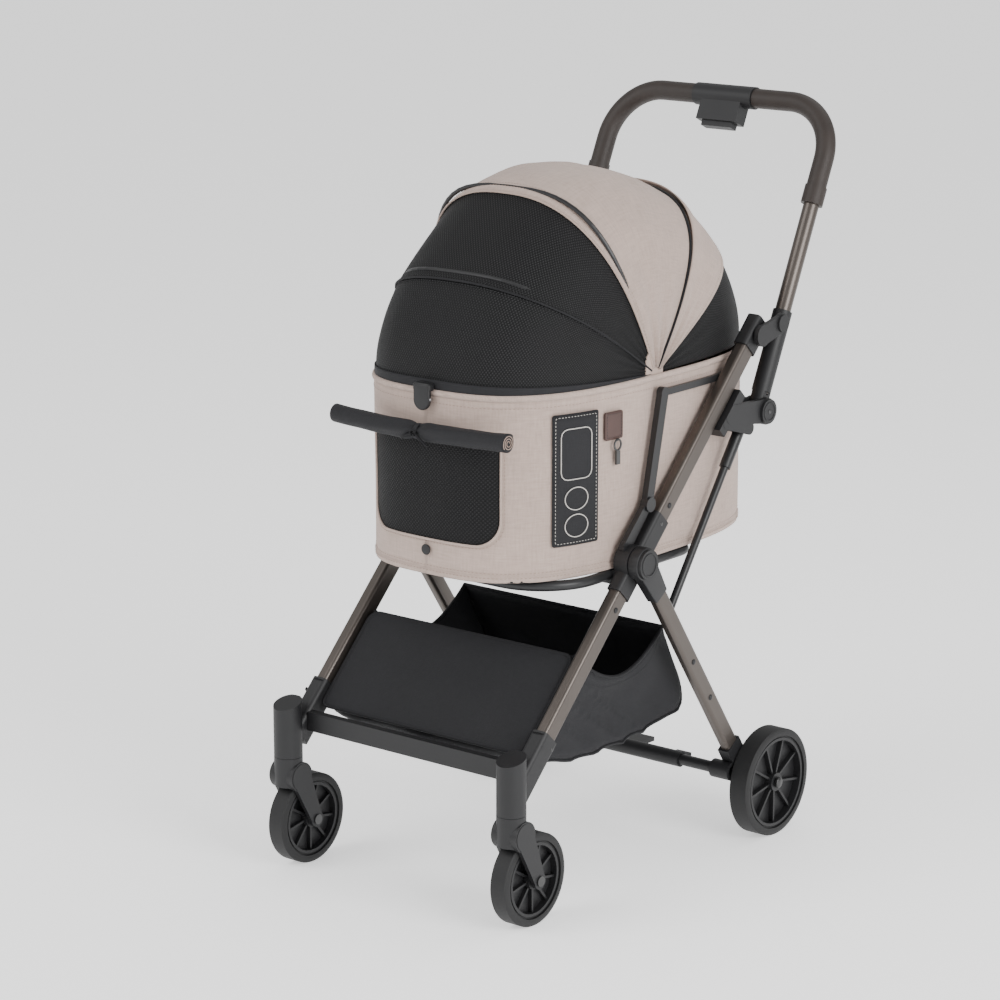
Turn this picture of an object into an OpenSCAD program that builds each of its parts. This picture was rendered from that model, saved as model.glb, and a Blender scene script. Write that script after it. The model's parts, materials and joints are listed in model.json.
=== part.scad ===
// Folding pet stroller: tube frame on two casters and two fixed wheels, a lift-off fabric carrier
// with a three-part canopy, a storage basket and a fold-down handle.
// Millimetres. +Z up, the front faces -Y, the origin is on the ground in the middle of the footprint.
// Left and right are as seen from the front, so right is +X.

/* [Overall] */
// Length from the front wheels' tread to the back of the handle grip
overall_length = 772; // [730:1:930]
// Distance between the two front swivel axes
front_track = 386; // [320:1:464]
// Height of the centre line of the handle's cross bar
handle_height = 995; // [940:1:1040]

/* [Wheels] */
// Diameter of the front wheels
front_wheel_d = 125; // [104:1:150]
// Width of the front tyres
front_wheel_w = 27; // [24:1:32]
// Diameter of the rear wheels
rear_wheel_d = 152; // [126:1:184]
// Width of the rear tyres
rear_wheel_w = 30; // [26:1:36]
// Distance that each front wheel trails behind its swivel axis
caster_trail = 34; // [28:1:42]
// Depth of the tyre's section
tyre_depth = 13; // [10:1:16]

/* [Legs] */
// Size of a leg tube along the direction of travel
leg_depth = 27; // [23:1:33]
// Size of a leg tube across the stroller
leg_thickness = 18; // [15:1:22]
// Wall of the leg tubes
leg_wall = 1.6; // [1.2:0.1:2.2]
// Lean of the front legs from upright
leg_lean = 44.4; // [40:0.1:48]
// Lean of the rear legs from upright
rear_lean = 34.5; // [30:0.1:38]
// Height of the pivot where the legs cross
hub_height = 440; // [420:1:470]
// Height of the top of the front legs
leg_top = 712; // [690:1:740]

/* [Handle] */
// Outer diameter of the handle tube
handle_tube_d = 22; // [18:1:26]
// Outer diameter of the foam grip
grip_d = 28; // [25:1:34]
// Radius of the handle's two bends, at the centre line
handle_bend = 78; // [62:1:94]
// Length of the straight part of each grip leg below its bend
grip_leg = 40; // [20:1:60]

/* [Carrier] */
// Reach of the carrier in front of the canopy pivots
carrier_front = 260; // [210:1:275]
// Reach of the carrier behind the canopy pivots
carrier_rear = 306; // [255:1:330]
// Height of the fabric walls
carrier_height = 240; // [200:1:250]
// Wall of the fabric shell with its lining
carrier_wall = 4; // [3:0.5:6]
// Gap between the carrier and the legs
carrier_gap = 5; // [4:0.5:7]
// Squareness of the carrier's plan (2 is an ellipse)
plan_power = 3; // [2:0.1:3]
// Height of the main canopy over its pivots
canopy_rise = 262; // [235:1:300]

/* [Basket] */
// Wall of the fabric basket
basket_wall = 3; // [2:0.5:5]
// Height of the basket's lowest part over the ground
basket_floor = 180; // [170:1:200]

/* [Hidden] */

$fn = 48;
fit = 0.15; // clearance round a tube in its sleeve
run = 0.5; // gap between faces that pass each other
step = 0.6; // offset between two faces of one moulding that would otherwise be flush
pin_fit = 0.05; // radial clearance of a running pin

// Colours
tube_paint = "#5c5149";
black_plastic = "#1d1d1e";
rubber = "#232324";
foam = "#332a28";
cloth = "#c2a596";
dark_cloth = "#26262a";
steel = "#8a8a8c";

// Frame skeleton: points are [y, z] in the side view
side_x = front_track / 2 - 3;
front_axle = [-overall_length / 2 + front_wheel_d / 2, front_wheel_d / 2];
swivel_y = front_axle[0] - caster_trail;
fork_top = front_wheel_d + 33;
housing_r = 19.5;
housing_top = fork_top + 80;
leg_foot = [swivel_y + 61, fork_top + 73];
function leg_y(z) = leg_foot[0] + (z - leg_foot[1]) * tan(leg_lean);
function leg_at(z) = [leg_y(z), z];
hub = [leg_y(hub_height) - 12, hub_height];
function rear_y(z) = hub[0] + (hub[1] - z) * tan(rear_lean);
rear_axle = [rear_y(rear_wheel_d / 2) + 20, rear_wheel_d / 2];
sleeve_wall = 2; // wall of a plastic sleeve across the stroller
rear_leg_thickness = 15;
brake_axis = rear_axle + [-66, 26]; // centre line of the rear cross bar
rear_leg_x = side_x + leg_thickness / 2 + sleeve_wall + 1 + rear_leg_thickness / 2;
rear_leg_depth = 25;
rear_leg_end = rear_wheel_d / 2 + 60;
rear_wheel_x = rear_leg_x + rear_leg_thickness / 2 + rear_wheel_w / 2 + 1;
hub_sleeve = [hub_height - 40, hub_height + 49];
lower_leg_top = hub_height - 14; // clear of the pivot pin
pin_r = 5;
hub_r = 23;

// Handle hinge on the slider, the top of the brace rod and its foot on the rear leg
hinge = [leg_y(596) + 123, 596];
rod_top = hinge - [40, 17];
rod_foot = hub + [84, -93];
slide_run = 93; // how far the slider goes down the leg
low_hinge = hinge - slide_run * [sin(leg_lean), cos(leg_lean)];
bar_housing_r = grip_d / 2 + 2; // round housing in the middle of the handle's bar
handle_top = [overall_length / 2 - bar_housing_r, handle_height];
handle_len = norm(handle_top - hinge);
handle_x = side_x - 2;
hinge_pin_r = 4;
rod_pin_r = 3;
plate_in = leg_thickness / 2 + run;
plate_out = plate_in + 7;
sleeve_len = 142;
handle_wall = 1.5;

// Carrier
pivot = [hub[0] + 71, hub_height + 234];
rail_d = 14;
rail_z = hub_height - 17.5;
carrier_base = rail_z + rail_d / 2 + run;
carrier_top = carrier_base + carrier_height;
half_w = side_x - leg_thickness / 2 - carrier_gap;
plan_mid = pivot[0] + (carrier_rear - carrier_front) / 2;
plan_len = (carrier_rear + carrier_front) / 2;
plan_steps = 72;
plan_exp = 2 / plan_power;
canopy_cloth = 2;
bow_r = 3;
layer = 10; // step between two nested canopy layers
mid_angle = 34; // front edge of the middle canopy
main_angle = 68; // front edge of the main canopy
rear_angle = 130; // back edge of the main canopy
rim_gap = 3; // canopy's lower edges over the rim

// Rounded rectangle from plain shapes, so that its corners stay true arcs
module round_rect(w, h, r) {
    square([w - 2 * r, h], center = true);
    square([w, h - 2 * r], center = true);
    for (x = [-1, 1], y = [-1, 1]) translate([x * (w / 2 - r), y * (h / 2 - r)]) circle(r);
}

// Places children so that local +Z runs from p to q in the side view
module along(x, p, q) {
    translate([x, p[0], p[1]]) rotate([-atan2(q[0] - p[0], q[1] - p[1]), 0, 0]) children();
}

// A straight tube of the leg profile between two side-view points
module leg_tube(x, p, q, w, h, wall) {
    along(x, p, q) linear_extrude(norm(q - p)) difference() {
        round_rect(w, h, 5);
        round_rect(w - 2 * wall, h - 2 * wall, 5 - wall);
    }
}

// Cylinder across the stroller, from x0 to x1
module cross_pin(x0, x1, p, r) {
    translate([min(x0, x1), p[0], p[1]]) rotate([0, 90, 0]) cylinder(h = abs(x1 - x0), r = r);
}

// Flat link between two side-view points with round ends, its waist a little narrower than they are
waist = 0.93;
module link_plate(x0, x1, p, q, rp, rq) {
    d = norm(q - p);
    translate([min(x0, x1), p[0], p[1]]) rotate([atan2(q[1] - p[1], q[0] - p[0]), 0, 0])
        rotate([90, 0, 90]) linear_extrude(abs(x1 - x0)) {
            circle(rp);
            translate([d, 0]) circle(rq);
            polygon([[0, waist * rp], [d, waist * rq], [d, -waist * rq], [0, -waist * rp]]);
        }
}

// Runs a module for one side; side is 1 on the +X side and -1 on the other
module on_side(side) {
    if (side > 0) children();
    else mirror([1, 0, 0]) children();
}

// ---- Front legs and casters ----

module caster_housing(side) color(black_plastic) on_side(side) {
    swivel_x = front_track / 2;
    difference() {
        union() {
            translate([swivel_x, swivel_y, fork_top]) cylinder(h = housing_top - fork_top, r = housing_r);
            along(side_x, leg_at(leg_foot[1] - 50), leg_at(leg_foot[1] + 12)) linear_extrude(
                norm(leg_at(leg_foot[1] + 12) - leg_at(leg_foot[1] - 50)))
                round_rect(leg_thickness + 7, leg_depth + 7, 7);
        }
        // slanted top of the swivel barrel
        translate([swivel_x - 2 * housing_r, swivel_y - 2 * housing_r, housing_top])
            rotate([18, 0, 0]) translate([0, -housing_r, -housing_r * 0.9])
            cube([4 * housing_r, 6 * housing_r, 60]);
        // socket for the lower leg
        along(side_x, leg_at(leg_foot[1] - 20), leg_at(leg_foot[1] + 60)) linear_extrude(120)
            round_rect(leg_thickness + 2 * fit, leg_depth + 2 * fit, 5);
        // bearing for the caster's stem
        translate([swivel_x, swivel_y, fork_top - 1]) cylinder(h = 26, r = 6 + pin_fit);
    }
}

module lower_leg(side) color(tube_paint) on_side(side)
    leg_tube(side_x, leg_at(leg_foot[1] - 18), leg_at(lower_leg_top - run), leg_thickness, leg_depth, leg_wall);

module upper_leg(side) color(tube_paint) on_side(side)
    leg_tube(side_x, leg_at(hub_height + 6), leg_at(leg_top - 8), leg_thickness, leg_depth, leg_wall);

module hub_bracket(side) color(black_plastic) on_side(side) {
    a = leg_at(hub_sleeve[0]);
    b = leg_at(hub_sleeve[1]);
    difference() {
        union() {
            along(side_x, a, b) linear_extrude(norm(b - a))
                round_rect(leg_thickness + 2 * sleeve_wall, leg_depth + 6, 6);
            cross_pin(side_x - leg_thickness / 2 - 2, side_x + leg_thickness / 2 + sleeve_wall, hub, hub_r);
            // clamp on the carrier rail
            translate([half_w - 17, hub[0] - 20, rail_z - 12])
                cube([side_x - half_w + 17, 40, carrier_base - run - rail_z + 12]);
        }
        // the tubes sit in the sleeve's two sockets
        along(side_x, leg_at(hub_sleeve[0] - 20), leg_at(hub_height)) linear_extrude(
            norm(leg_at(lower_leg_top) - leg_at(hub_sleeve[0] - 20)))
            round_rect(leg_thickness + 2 * fit, leg_depth + 2 * fit, 5);
        along(side_x, leg_at(hub_height + 5), b) linear_extrude(150)
            round_rect(leg_thickness + 2 * fit, leg_depth + 2 * fit, 5);
        cross_pin(side_x - 40, side_x + 40, hub, pin_r);
        translate([half_w - rail_d / 2, hub[0] - 60, rail_z]) rotate([-90, 0, 0])
            cylinder(h = 120, r = rail_d / 2 + fit);
    }
}

// Both pivot pins with their flat caps, which hold the rear legs on
module pivot_pins() color(black_plastic) for (side = [1, -1]) on_side(side) {
    inner = side_x - leg_thickness / 2;
    outer = rear_leg_x + rear_leg_thickness / 2 + run;
    cross_pin(inner, outer + 1, hub, pin_r);
    cross_pin(outer, outer + 4, hub, hub_r - 3);
}

// Caps on the front legs, with the ear that stops the handle
module top_brackets() color(black_plastic) for (side = [1, -1]) on_side(side) {
    ear = leg_at(leg_top + 3) + [33, 0];
    difference() {
        union() {
            along(side_x, leg_at(leg_top - 26), leg_at(leg_top + 8)) linear_extrude(
                norm(leg_at(leg_top + 8) - leg_at(leg_top - 26)))
                round_rect(leg_thickness + 2 * sleeve_wall, leg_depth + 6, 6);
            link_plate(side_x + leg_thickness / 2 + 6, side_x + leg_thickness / 2 + 12,
                leg_at(leg_top - 8), ear, 15, 14);
            cross_pin(side_x, side_x + leg_thickness / 2 + 12 - step, leg_at(leg_top - 6), 12);
            cross_pin(side_x + leg_thickness / 2 + 12 - step, side_x + leg_thickness / 2 + 15, ear, 12);
        }
        along(side_x, leg_at(leg_top - 60), leg_at(leg_top - 6)) linear_extrude(
            norm(leg_at(leg_top - 6) - leg_at(leg_top - 60)))
            round_rect(leg_thickness + 2 * fit, leg_depth + 2 * fit, 5);
        // back corner cut away for the handle tube when the slider is down
        handle_frame(low_hinge) translate([side_x - 20, -handle_tube_d / 2 - 1.5, 0])
            cube([20 + leg_thickness / 2 + sleeve_wall + 2, 80, 300]);
    }
}

// Flat arms from the hubs up to the carrier's rim
module side_arms() color(black_plastic) for (side = [1, -1]) on_side(side) {
    x = side_x - 7;
    foot = hub + [-8, hub_r - 2];
    knee = [leg_y(hub_height + 70) - 42, hub_height + 70];
    head = [pivot[0], carrier_top - 15];
    difference() {
        union() {
            link_plate(x + step, x + 9 - step, foot, knee, 9, 7.5);
            link_plate(x, x + 9, knee, head, 8, 8);
            cross_pin(x + step / 2, x + 12, knee, 10);
        }
        // clear of the hub bracket's boss
        cross_pin(x - 20, x + 40, hub, hub_r + fit);
    }
}

// Plan outline of the carrier, grown outwards by g
function plan_point(a, g) = [
    (half_w + g) * sign(cos(a)) * pow(abs(cos(a)), plan_exp),
    plan_mid + (plan_len + g) * sign(sin(a)) * pow(abs(sin(a)), plan_exp)];
module plan(g) polygon([for (i = [0:plan_steps - 1]) plan_point(i * 360 / plan_steps, g)]);

// ---- Frame under and round the carrier ----

// Closed tube loop that the carrier stands on, clamped in both hubs
module carrier_rail() color(black_plastic) {
    x = half_w - rail_d / 2;
    front = plan_mid - plan_len + 50;
    rear = hub[0] + 165;
    bend = 85;
    small = 24;
    translate([0, 0, rail_z]) {
        for (s = [1, -1]) {
            translate([s * x, front + bend, 0]) rotate([-90, 0, 0])
                cylinder(h = rear - front - bend - small, r = rail_d / 2);
            translate([s * (x - bend), front + bend, 0]) rotate([0, 0, s > 0 ? -90 : 180])
                rotate_extrude(angle = 90) translate([bend, 0]) circle(rail_d / 2);
            translate([s * (x - small), rear - small, 0]) rotate([0, 0, s > 0 ? 0 : 90])
                rotate_extrude(angle = 90) translate([small, 0]) circle(rail_d / 2);
        }
        translate([-(x - bend), front, 0]) rotate([0, 90, 0]) cylinder(h = 2 * (x - bend), r = rail_d / 2);
        translate([-(x - small), rear, 0]) rotate([0, 90, 0]) cylinder(h = 2 * (x - small), r = rail_d / 2);
    }
}

// Flat bar round the back of the carrier just under its rim
module rear_hoop() color(black_plastic) {
    z = carrier_top - 22;
    translate([0, 0, z]) linear_extrude(9) intersection() {
        difference() {
            plan(7);
            plan(2);
        }
        translate([-300, pivot[0] + 9]) square([600, 600]);
    }
}

// Moulded bar between the two caster housings
module front_crossbar() color(black_plastic) {
    x = side_x - leg_thickness / 2 - 4;
    translate([-x, leg_y(leg_foot[1] - 26) - 14, leg_foot[1] - 36]) cube([2 * x, 12, 22]);
    translate([-x, leg_y(leg_foot[1] - 26) - 14, leg_foot[1] - 40]) cube([2 * x, 20, 6]);
}

panel_low = leg_foot[1] - 12;
panel_high = leg_foot[1] + 96;
basket_x = side_x - leg_thickness / 2 - 5;
module basket_panel() color(dark_cloth)
    along(0, leg_at(panel_low), leg_at(panel_high))
        linear_extrude(norm(leg_at(panel_high) - leg_at(panel_low)))
        translate([-basket_x, -5]) square([2 * basket_x, 7]);

// Side outline of the basket, pulled in by g
function basket_outline(g) = [
    leg_at(panel_low) + [6 + g, g], leg_at(panel_high) + [6 + g, 0],
    [rear_y(panel_high + 4) - 6 - g, panel_high + 4],
    [rear_y(basket_floor + 24) - 6 - g, basket_floor + 24 + g],
    [rear_y(basket_floor + 24) - 60, basket_floor + 4 + g],
    [(hub[0] + swivel_y) / 2 + 40, basket_floor + g],
    [leg_y(panel_low) + 70, basket_floor + 6 + g]];
module storage_basket() color(dark_cloth) {
    mid = (leg_y(panel_high) + rear_y(panel_high)) / 2;
    difference() {
        translate([-basket_x, 0, 0]) rotate([90, 0, 90]) linear_extrude(2 * basket_x)
            polygon(basket_outline(0));
        translate([-basket_x + basket_wall, 0, 0]) rotate([90, 0, 90])
            linear_extrude(2 * (basket_x - basket_wall)) polygon(basket_outline(basket_wall));
        // open top, and the dip in both side walls
        translate([-basket_x + basket_wall, leg_y(panel_high) + 9, panel_high - 12])
            cube([2 * (basket_x - basket_wall), rear_y(panel_high) - leg_y(panel_high) - 21, 40]);
        cross_pin(-basket_x - 1, basket_x + 1, [mid - 10, panel_high + 62], 108);
    }
}

// ---- Brace that folds the rear legs ----

// Slider behind the front leg: it carries the handle's hinge and the brace rod's top
module brace_slider(side) color(black_plastic) on_side(side) {
    block_low = leg_at(598);
    block_high = leg_at(646);
    back = leg_depth / 2 + run;
    inner = plate_in + 4;
    lift = [(back + 9) * cos(leg_lean), -(back + 9) * sin(leg_lean)];
    difference() {
        union() {
            along(side_x, block_low, block_high) translate([step - inner, back - step, 0])
                cube([inner + plate_out - 2 * step, 16 + step, norm(block_high - block_low)]);
            for (x = [[-inner, -plate_in], [plate_in, plate_out]]) {
                link_plate(side_x + x[0], side_x + x[1], leg_at(621) + lift, hinge, 14, 18.5);
                link_plate(side_x + x[0] + step / 2, side_x + x[1] - step / 2, leg_at(611) + lift,
                    rod_top, 10, 9);
            }
            cross_pin(side_x - inner + step, side_x + plate_out + 3, hinge, hinge_pin_r);
            cross_pin(side_x + plate_out - step, side_x + plate_out + 4, hinge, 17);
            cross_pin(side_x - inner + 2 * step, side_x + plate_out - 2 * step, rod_top, rod_pin_r);
        }
        // stays behind the leg's back face
        along(side_x, leg_at(500), leg_at(700)) translate([-40, -60, 0])
            cube([80, 60 + back, 400]);
    }
}

// Rod from the slider to the rear leg, with a ferrule at its top
module brace_rod(side) color(black_plastic) on_side(side) {
    eye_half = plate_in - run;
    difference() {
        union() {
            cross_pin(side_x - eye_half, side_x + eye_half, rod_top, 8);
            along(side_x, rod_top, rod_foot) cylinder(h = 62, r = 8);
            along(side_x, rod_top, rod_foot) cylinder(h = norm(rod_foot - rod_top) + 4, r = 5.5);
            cross_pin(side_x - 5, rear_leg_x - rear_leg_thickness / 2 - run, rod_foot, 6);
        }
        cross_pin(side_x - 40, side_x + 40, rod_top, rod_pin_r + pin_fit);
    }
}

// ---- Handle ----

module handle_frame(foot = hinge) translate([0, foot[0], foot[1]])
    rotate([-atan2(handle_top[0] - hinge[0], handle_top[1] - hinge[1]), 0, 0]) children();

// A U of round section in the handle's own frame, from s0 up over the bar
module handle_bar(r, s0) {
    for (s = [1, -1]) {
        translate([s * handle_x, 0, s0]) cylinder(h = handle_len - handle_bend - s0, r = r);
        translate([s * (handle_x - handle_bend), 0, handle_len - handle_bend]) rotate([90, 0, 0])
            rotate([0, 0, s > 0 ? 0 : 90]) rotate_extrude(angle = 90) translate([handle_bend, 0]) circle(r);
    }
    translate([-(handle_x - handle_bend), 0, handle_len]) rotate([0, 90, 0])
        cylinder(h = 2 * (handle_x - handle_bend), r = r);
}

module handle_sleeve(side) color(black_plastic) on_side(side) handle_frame() {
    eye_half = plate_in - run;
    difference() {
        union() {
            translate([side_x - eye_half, 0, 0]) rotate([0, 90, 0]) cylinder(h = 2 * eye_half, r = 15);
            translate([handle_x, 0, 0]) cylinder(h = sleeve_len, r = handle_tube_d / 2 + 2.5);
        }
        translate([side_x - 60, 0, 0]) rotate([0, 90, 0]) cylinder(h = 120, r = hinge_pin_r + pin_fit);
        translate([handle_x, 0, 22]) cylinder(h = sleeve_len, r = handle_tube_d / 2 + fit);
        // flats that pass between the slider's plates
        for (x = [side_x + eye_half, side_x - eye_half - 40]) translate([x, -40, -40]) cube([40, 80, 66]);
    }
}

module handle_tube() color(tube_paint) handle_frame() difference() {
    handle_bar(handle_tube_d / 2, 24);
    handle_bar(handle_tube_d / 2 - handle_wall, 23);
}

// Foam grips over the two bends, up to the housing
housing_half = 50;
module handle_grips() color(foam) handle_frame() for (side = [1, -1]) on_side(side) difference() {
    union() {
        handle_part(grip_d / 2);
        translate([handle_x, 0, handle_len - handle_bend - grip_leg - 26])
            cylinder(h = 26, r = grip_d / 2 + 1.5);
    }
    handle_part(handle_tube_d / 2 + pin_fit, 40);
}
// Half of the grip's run: leg, bend and bar up to the housing
module handle_part(r, extra = 0) {
    translate([handle_x, 0, handle_len - handle_bend - grip_leg - extra])
        cylinder(h = grip_leg + extra, r = r);
    translate([handle_x - handle_bend, 0, handle_len - handle_bend]) rotate([90, 0, 0])
        rotate_extrude(angle = 90) translate([handle_bend, 0]) circle(r);
    translate([housing_half + run - extra, 0, handle_len]) rotate([0, 90, 0])
        cylinder(h = handle_x - handle_bend - housing_half - run + extra, r = r);
}

module handle_housing() color(black_plastic) handle_frame() difference() {
    union() {
        translate([-housing_half, 0, handle_len]) rotate([0, 90, 0])
            cylinder(h = 2 * housing_half, r = bar_housing_r);
        translate([-34, -12, handle_len - 40]) cube([68, 24, 34]);
    }
    translate([-housing_half - 1, 0, handle_len]) rotate([0, 90, 0])
        cylinder(h = 2 * housing_half + 2, r = handle_tube_d / 2 + pin_fit);
    // slot for the release button
    translate([-26, -8, handle_len - 41]) cube([52, 16, 22]);
}

module release_button() color(black_plastic) handle_frame()
    translate([-26 + run, -8 + run, handle_len - 48]) cube([52 - 2 * run, 16 - 2 * run, 20]);

// ---- Rear legs, brake and rear wheels ----

module rear_leg(side) color(tube_paint) on_side(side) difference() {
    union() {
        along(rear_leg_x, hub, [rear_y(rear_leg_end - 24), rear_leg_end - 24]) linear_extrude(
            norm([rear_y(rear_leg_end - 24), rear_leg_end - 24] - hub))
            round_rect(rear_leg_thickness, rear_leg_depth, 5);
        cross_pin(rear_leg_x - rear_leg_thickness / 2, rear_leg_x + rear_leg_thickness / 2, hub, hub_r - 4);
    }
    // hollow below the flattened top
    along(rear_leg_x, [rear_y(hub[1] - 40), hub[1] - 40], [rear_y(rear_leg_end - 30), rear_leg_end - 30])
        linear_extrude(400)
        round_rect(rear_leg_thickness - 2 * leg_wall, rear_leg_depth - 2 * leg_wall, 5 - leg_wall);
    cross_pin(side_x, side_x + 60, hub, pin_r + pin_fit);
}

module rear_bracket(side) color(black_plastic) on_side(side) {
    x0 = rear_leg_x - rear_leg_thickness / 2 - 2;
    x1 = rear_leg_x + rear_leg_thickness / 2 + run;
    top = [rear_y(rear_leg_end + 6), rear_leg_end + 6];
    low = [rear_y(rear_axle[1] + 26), rear_axle[1] + 26];
    difference() {
        union() {
            along(rear_leg_x, low, top) translate([x0 - rear_leg_x, -rear_leg_depth / 2 - 3, 0])
                cube([x1 - x0, rear_leg_depth + 6, norm(top - low)]);
            cross_pin(x0 + 0.8, x1 - 0.2, rear_axle, 14);
            along(rear_leg_x, rear_axle, low + [2, 12]) translate([x0 + 1 - rear_leg_x, -13, 0])
                cube([x1 - x0 - 1.4, 26, norm(low + [2, 12] - rear_axle)]);
            cross_pin(x0 - 14, x1 - 0.8, brake_axis, 13);
            along(rear_leg_x, brake_axis, low) translate([x0 + 1.5 - rear_leg_x, -10, 0])
                cube([x1 - x0 - 2.5, 20, norm(low - brake_axis)]);
        }
        // socket for the leg
        along(rear_leg_x, [rear_y(rear_leg_end - 26), rear_leg_end - 26],
            [rear_y(rear_leg_end + 60), rear_leg_end + 60]) linear_extrude(120)
            round_rect(rear_leg_thickness + 2 * fit, rear_leg_depth + 2 * fit, 5);
        cross_pin(x0 - 20, x1 + 20, rear_axle, pin_r);
        cross_pin(x0 - 20, x1 + 20, brake_axis, 8 + pin_fit);
    }
}

module rear_crossbar() color(black_plastic)
    cross_pin(-(rear_leg_x + 4), rear_leg_x + 4, brake_axis, 8);

// Brake pedal on a sleeve that turns on the rear cross bar
module brake_bar() color(black_plastic) difference() {
    union() {
        cross_pin(-130, 130, brake_axis, 11);
        translate([-45, brake_axis[0], brake_axis[1] - 3]) cube([90, 52, 6]);
        for (x = [-130, 106]) translate([x, brake_axis[0], brake_axis[1] - 4]) cube([24, 24, 8]);
    }
    cross_pin(-140, 140, brake_axis, 8.1);
}

module rear_axles() color(steel) for (side = [1, -1]) on_side(side) {
    cross_pin(rear_leg_x - rear_leg_thickness / 2, rear_wheel_x + rear_wheel_w / 2 + 1, rear_axle, pin_r);
    cross_pin(rear_wheel_x + rear_wheel_w / 2 + 1, rear_wheel_x + rear_wheel_w / 2 + 3, rear_axle, 8);
}

// Tyre, centred on the origin with its axle along +X
module tyre(d, w) color(rubber) rotate([0, 90, 0]) rotate_extrude() translate([d / 2, 0]) {
    translate([-tyre_depth, -w / 2 + 3]) square([tyre_depth - 7, w - 6]);
    translate([-tyre_depth + 3, -w / 2]) square([tyre_depth - 10, w]);
    translate([-7, 0]) intersection() {
        circle(w / 2);
        translate([-1, -w / 2]) square([8, w]);
    }
}

// Spoked rim with a hub for an axle of radius r
module rim(d, w, r, spokes) color(black_plastic) rotate([0, 90, 0]) {
    ring = d / 2 - tyre_depth;
    difference() {
        translate([0, 0, -w / 2]) cylinder(h = w, r = ring - pin_fit);
        translate([0, 0, -w / 2 - 1]) cylinder(h = w + 2, r = ring - 4);
    }
    difference() {
        union() {
            translate([0, 0, -w / 2]) cylinder(h = w, r = 13);
            for (i = [0:spokes - 1]) rotate([0, 0, i * 360 / spokes])
                translate([10, -1.6, -w / 2 + 4]) cube([ring - 11, 3.2, w - 8]);
            translate([0, 0, -2]) cylinder(h = 4, r = ring - 2);
        }
        translate([0, 0, -w]) cylinder(h = 2 * w, r = r);
    }
}

module rear_rim(side) on_side(side) translate([rear_wheel_x, rear_axle[0], rear_axle[1]])
    rim(rear_wheel_d, rear_wheel_w - 3, pin_r + pin_fit, 9);
module rear_tyre(side) on_side(side) translate([rear_wheel_x, rear_axle[0], rear_axle[1]])
    tyre(rear_wheel_d, rear_wheel_w);

// ---- Casters ----

cheek_x = front_wheel_w / 2 + 1.5;
module caster_fork(side) color(black_plastic) on_side(side) translate([front_track / 2, 0, 0]) {
    crown = [swivel_y + 4, front_wheel_d + 5];
    difference() {
        union() {
            translate([0, swivel_y, front_wheel_d - 8])
                cylinder(h = fork_top - front_wheel_d + 8 - run, r = housing_r);
            translate([0, swivel_y, fork_top - 10]) cylinder(h = 34, r = 6);
            cross_pin(-cheek_x - 6 + step, cheek_x + 6 - step, crown, 20.5);
            for (x = [-cheek_x - 6, cheek_x - step])
                link_plate(x, x + 6 + step, crown, front_axle, 18, 11);
        }
        // room for the wheel
        cross_pin(-cheek_x, cheek_x, front_axle, front_wheel_d / 2 + 4);
        cross_pin(-60, 60, front_axle, 4);
    }
}

module front_axle_pin(side) color(steel) on_side(side) translate([front_track / 2, 0, 0]) {
    cross_pin(-cheek_x - 6, cheek_x + 6, front_axle, 4);
    cross_pin(cheek_x + 6, cheek_x + 8, front_axle, 7);
    cross_pin(-cheek_x - 8, -cheek_x - 6, front_axle, 7);
}
module front_rim(side) on_side(side) translate([front_track / 2, front_axle[0], front_axle[1]])
    rim(front_wheel_d, front_wheel_w - 3, 4 + pin_fit, 9);
module front_tyre(side) on_side(side) translate([front_track / 2, front_axle[0], front_axle[1]])
    tyre(front_wheel_d, front_wheel_w);

// ---- Carrier ----

window_w = 190;
window_z = [carrier_base + 46, carrier_base + 176];
module window_block(g) translate([-window_w / 2 + g, plan_mid - plan_len - 20, window_z[0] + g])
    cube([window_w - 2 * g, 90, window_z[1] - window_z[0] - 2 * g]);

module carrier_shell() color(cloth) difference() {
    translate([0, 0, carrier_base]) linear_extrude(carrier_height - run) plan(0);
    translate([0, 0, carrier_base + carrier_wall]) linear_extrude(carrier_height) plan(-carrier_wall);
    window_block(0);
}

module window_mesh() color(dark_cloth) intersection() {
    translate([0, 0, carrier_base]) linear_extrude(carrier_height) difference() {
        plan(-1);
        plan(-carrier_wall + 1);
    }
    window_block(fit);
}

module rim_hoop() color(cloth) translate([0, 0, carrier_top]) linear_extrude(8) difference() {
    plan(1.5);
    plan(-carrier_wall - 1);
}

module floor_board() color(black_plastic) translate([0, 0, carrier_base + carrier_wall + fit])
    linear_extrude(4) plan(-carrier_wall - 1);
module floor_pad() color(dark_cloth) translate([0, 0, carrier_base + carrier_wall + 4 + 2 * fit])
    linear_extrude(18) plan(-carrier_wall - 2);

roll_at = [plan_mid - plan_len - 15, carrier_top - 42];
module shade_roll() color(dark_cloth) {
    cross_pin(-143, 143, roll_at, 13);
    for (x = [-60, 52]) translate([x, roll_at[0] + 9, roll_at[1] - 6])
        cube([8, plan_mid - plan_len - roll_at[0] - 10, 12]);
}

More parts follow.
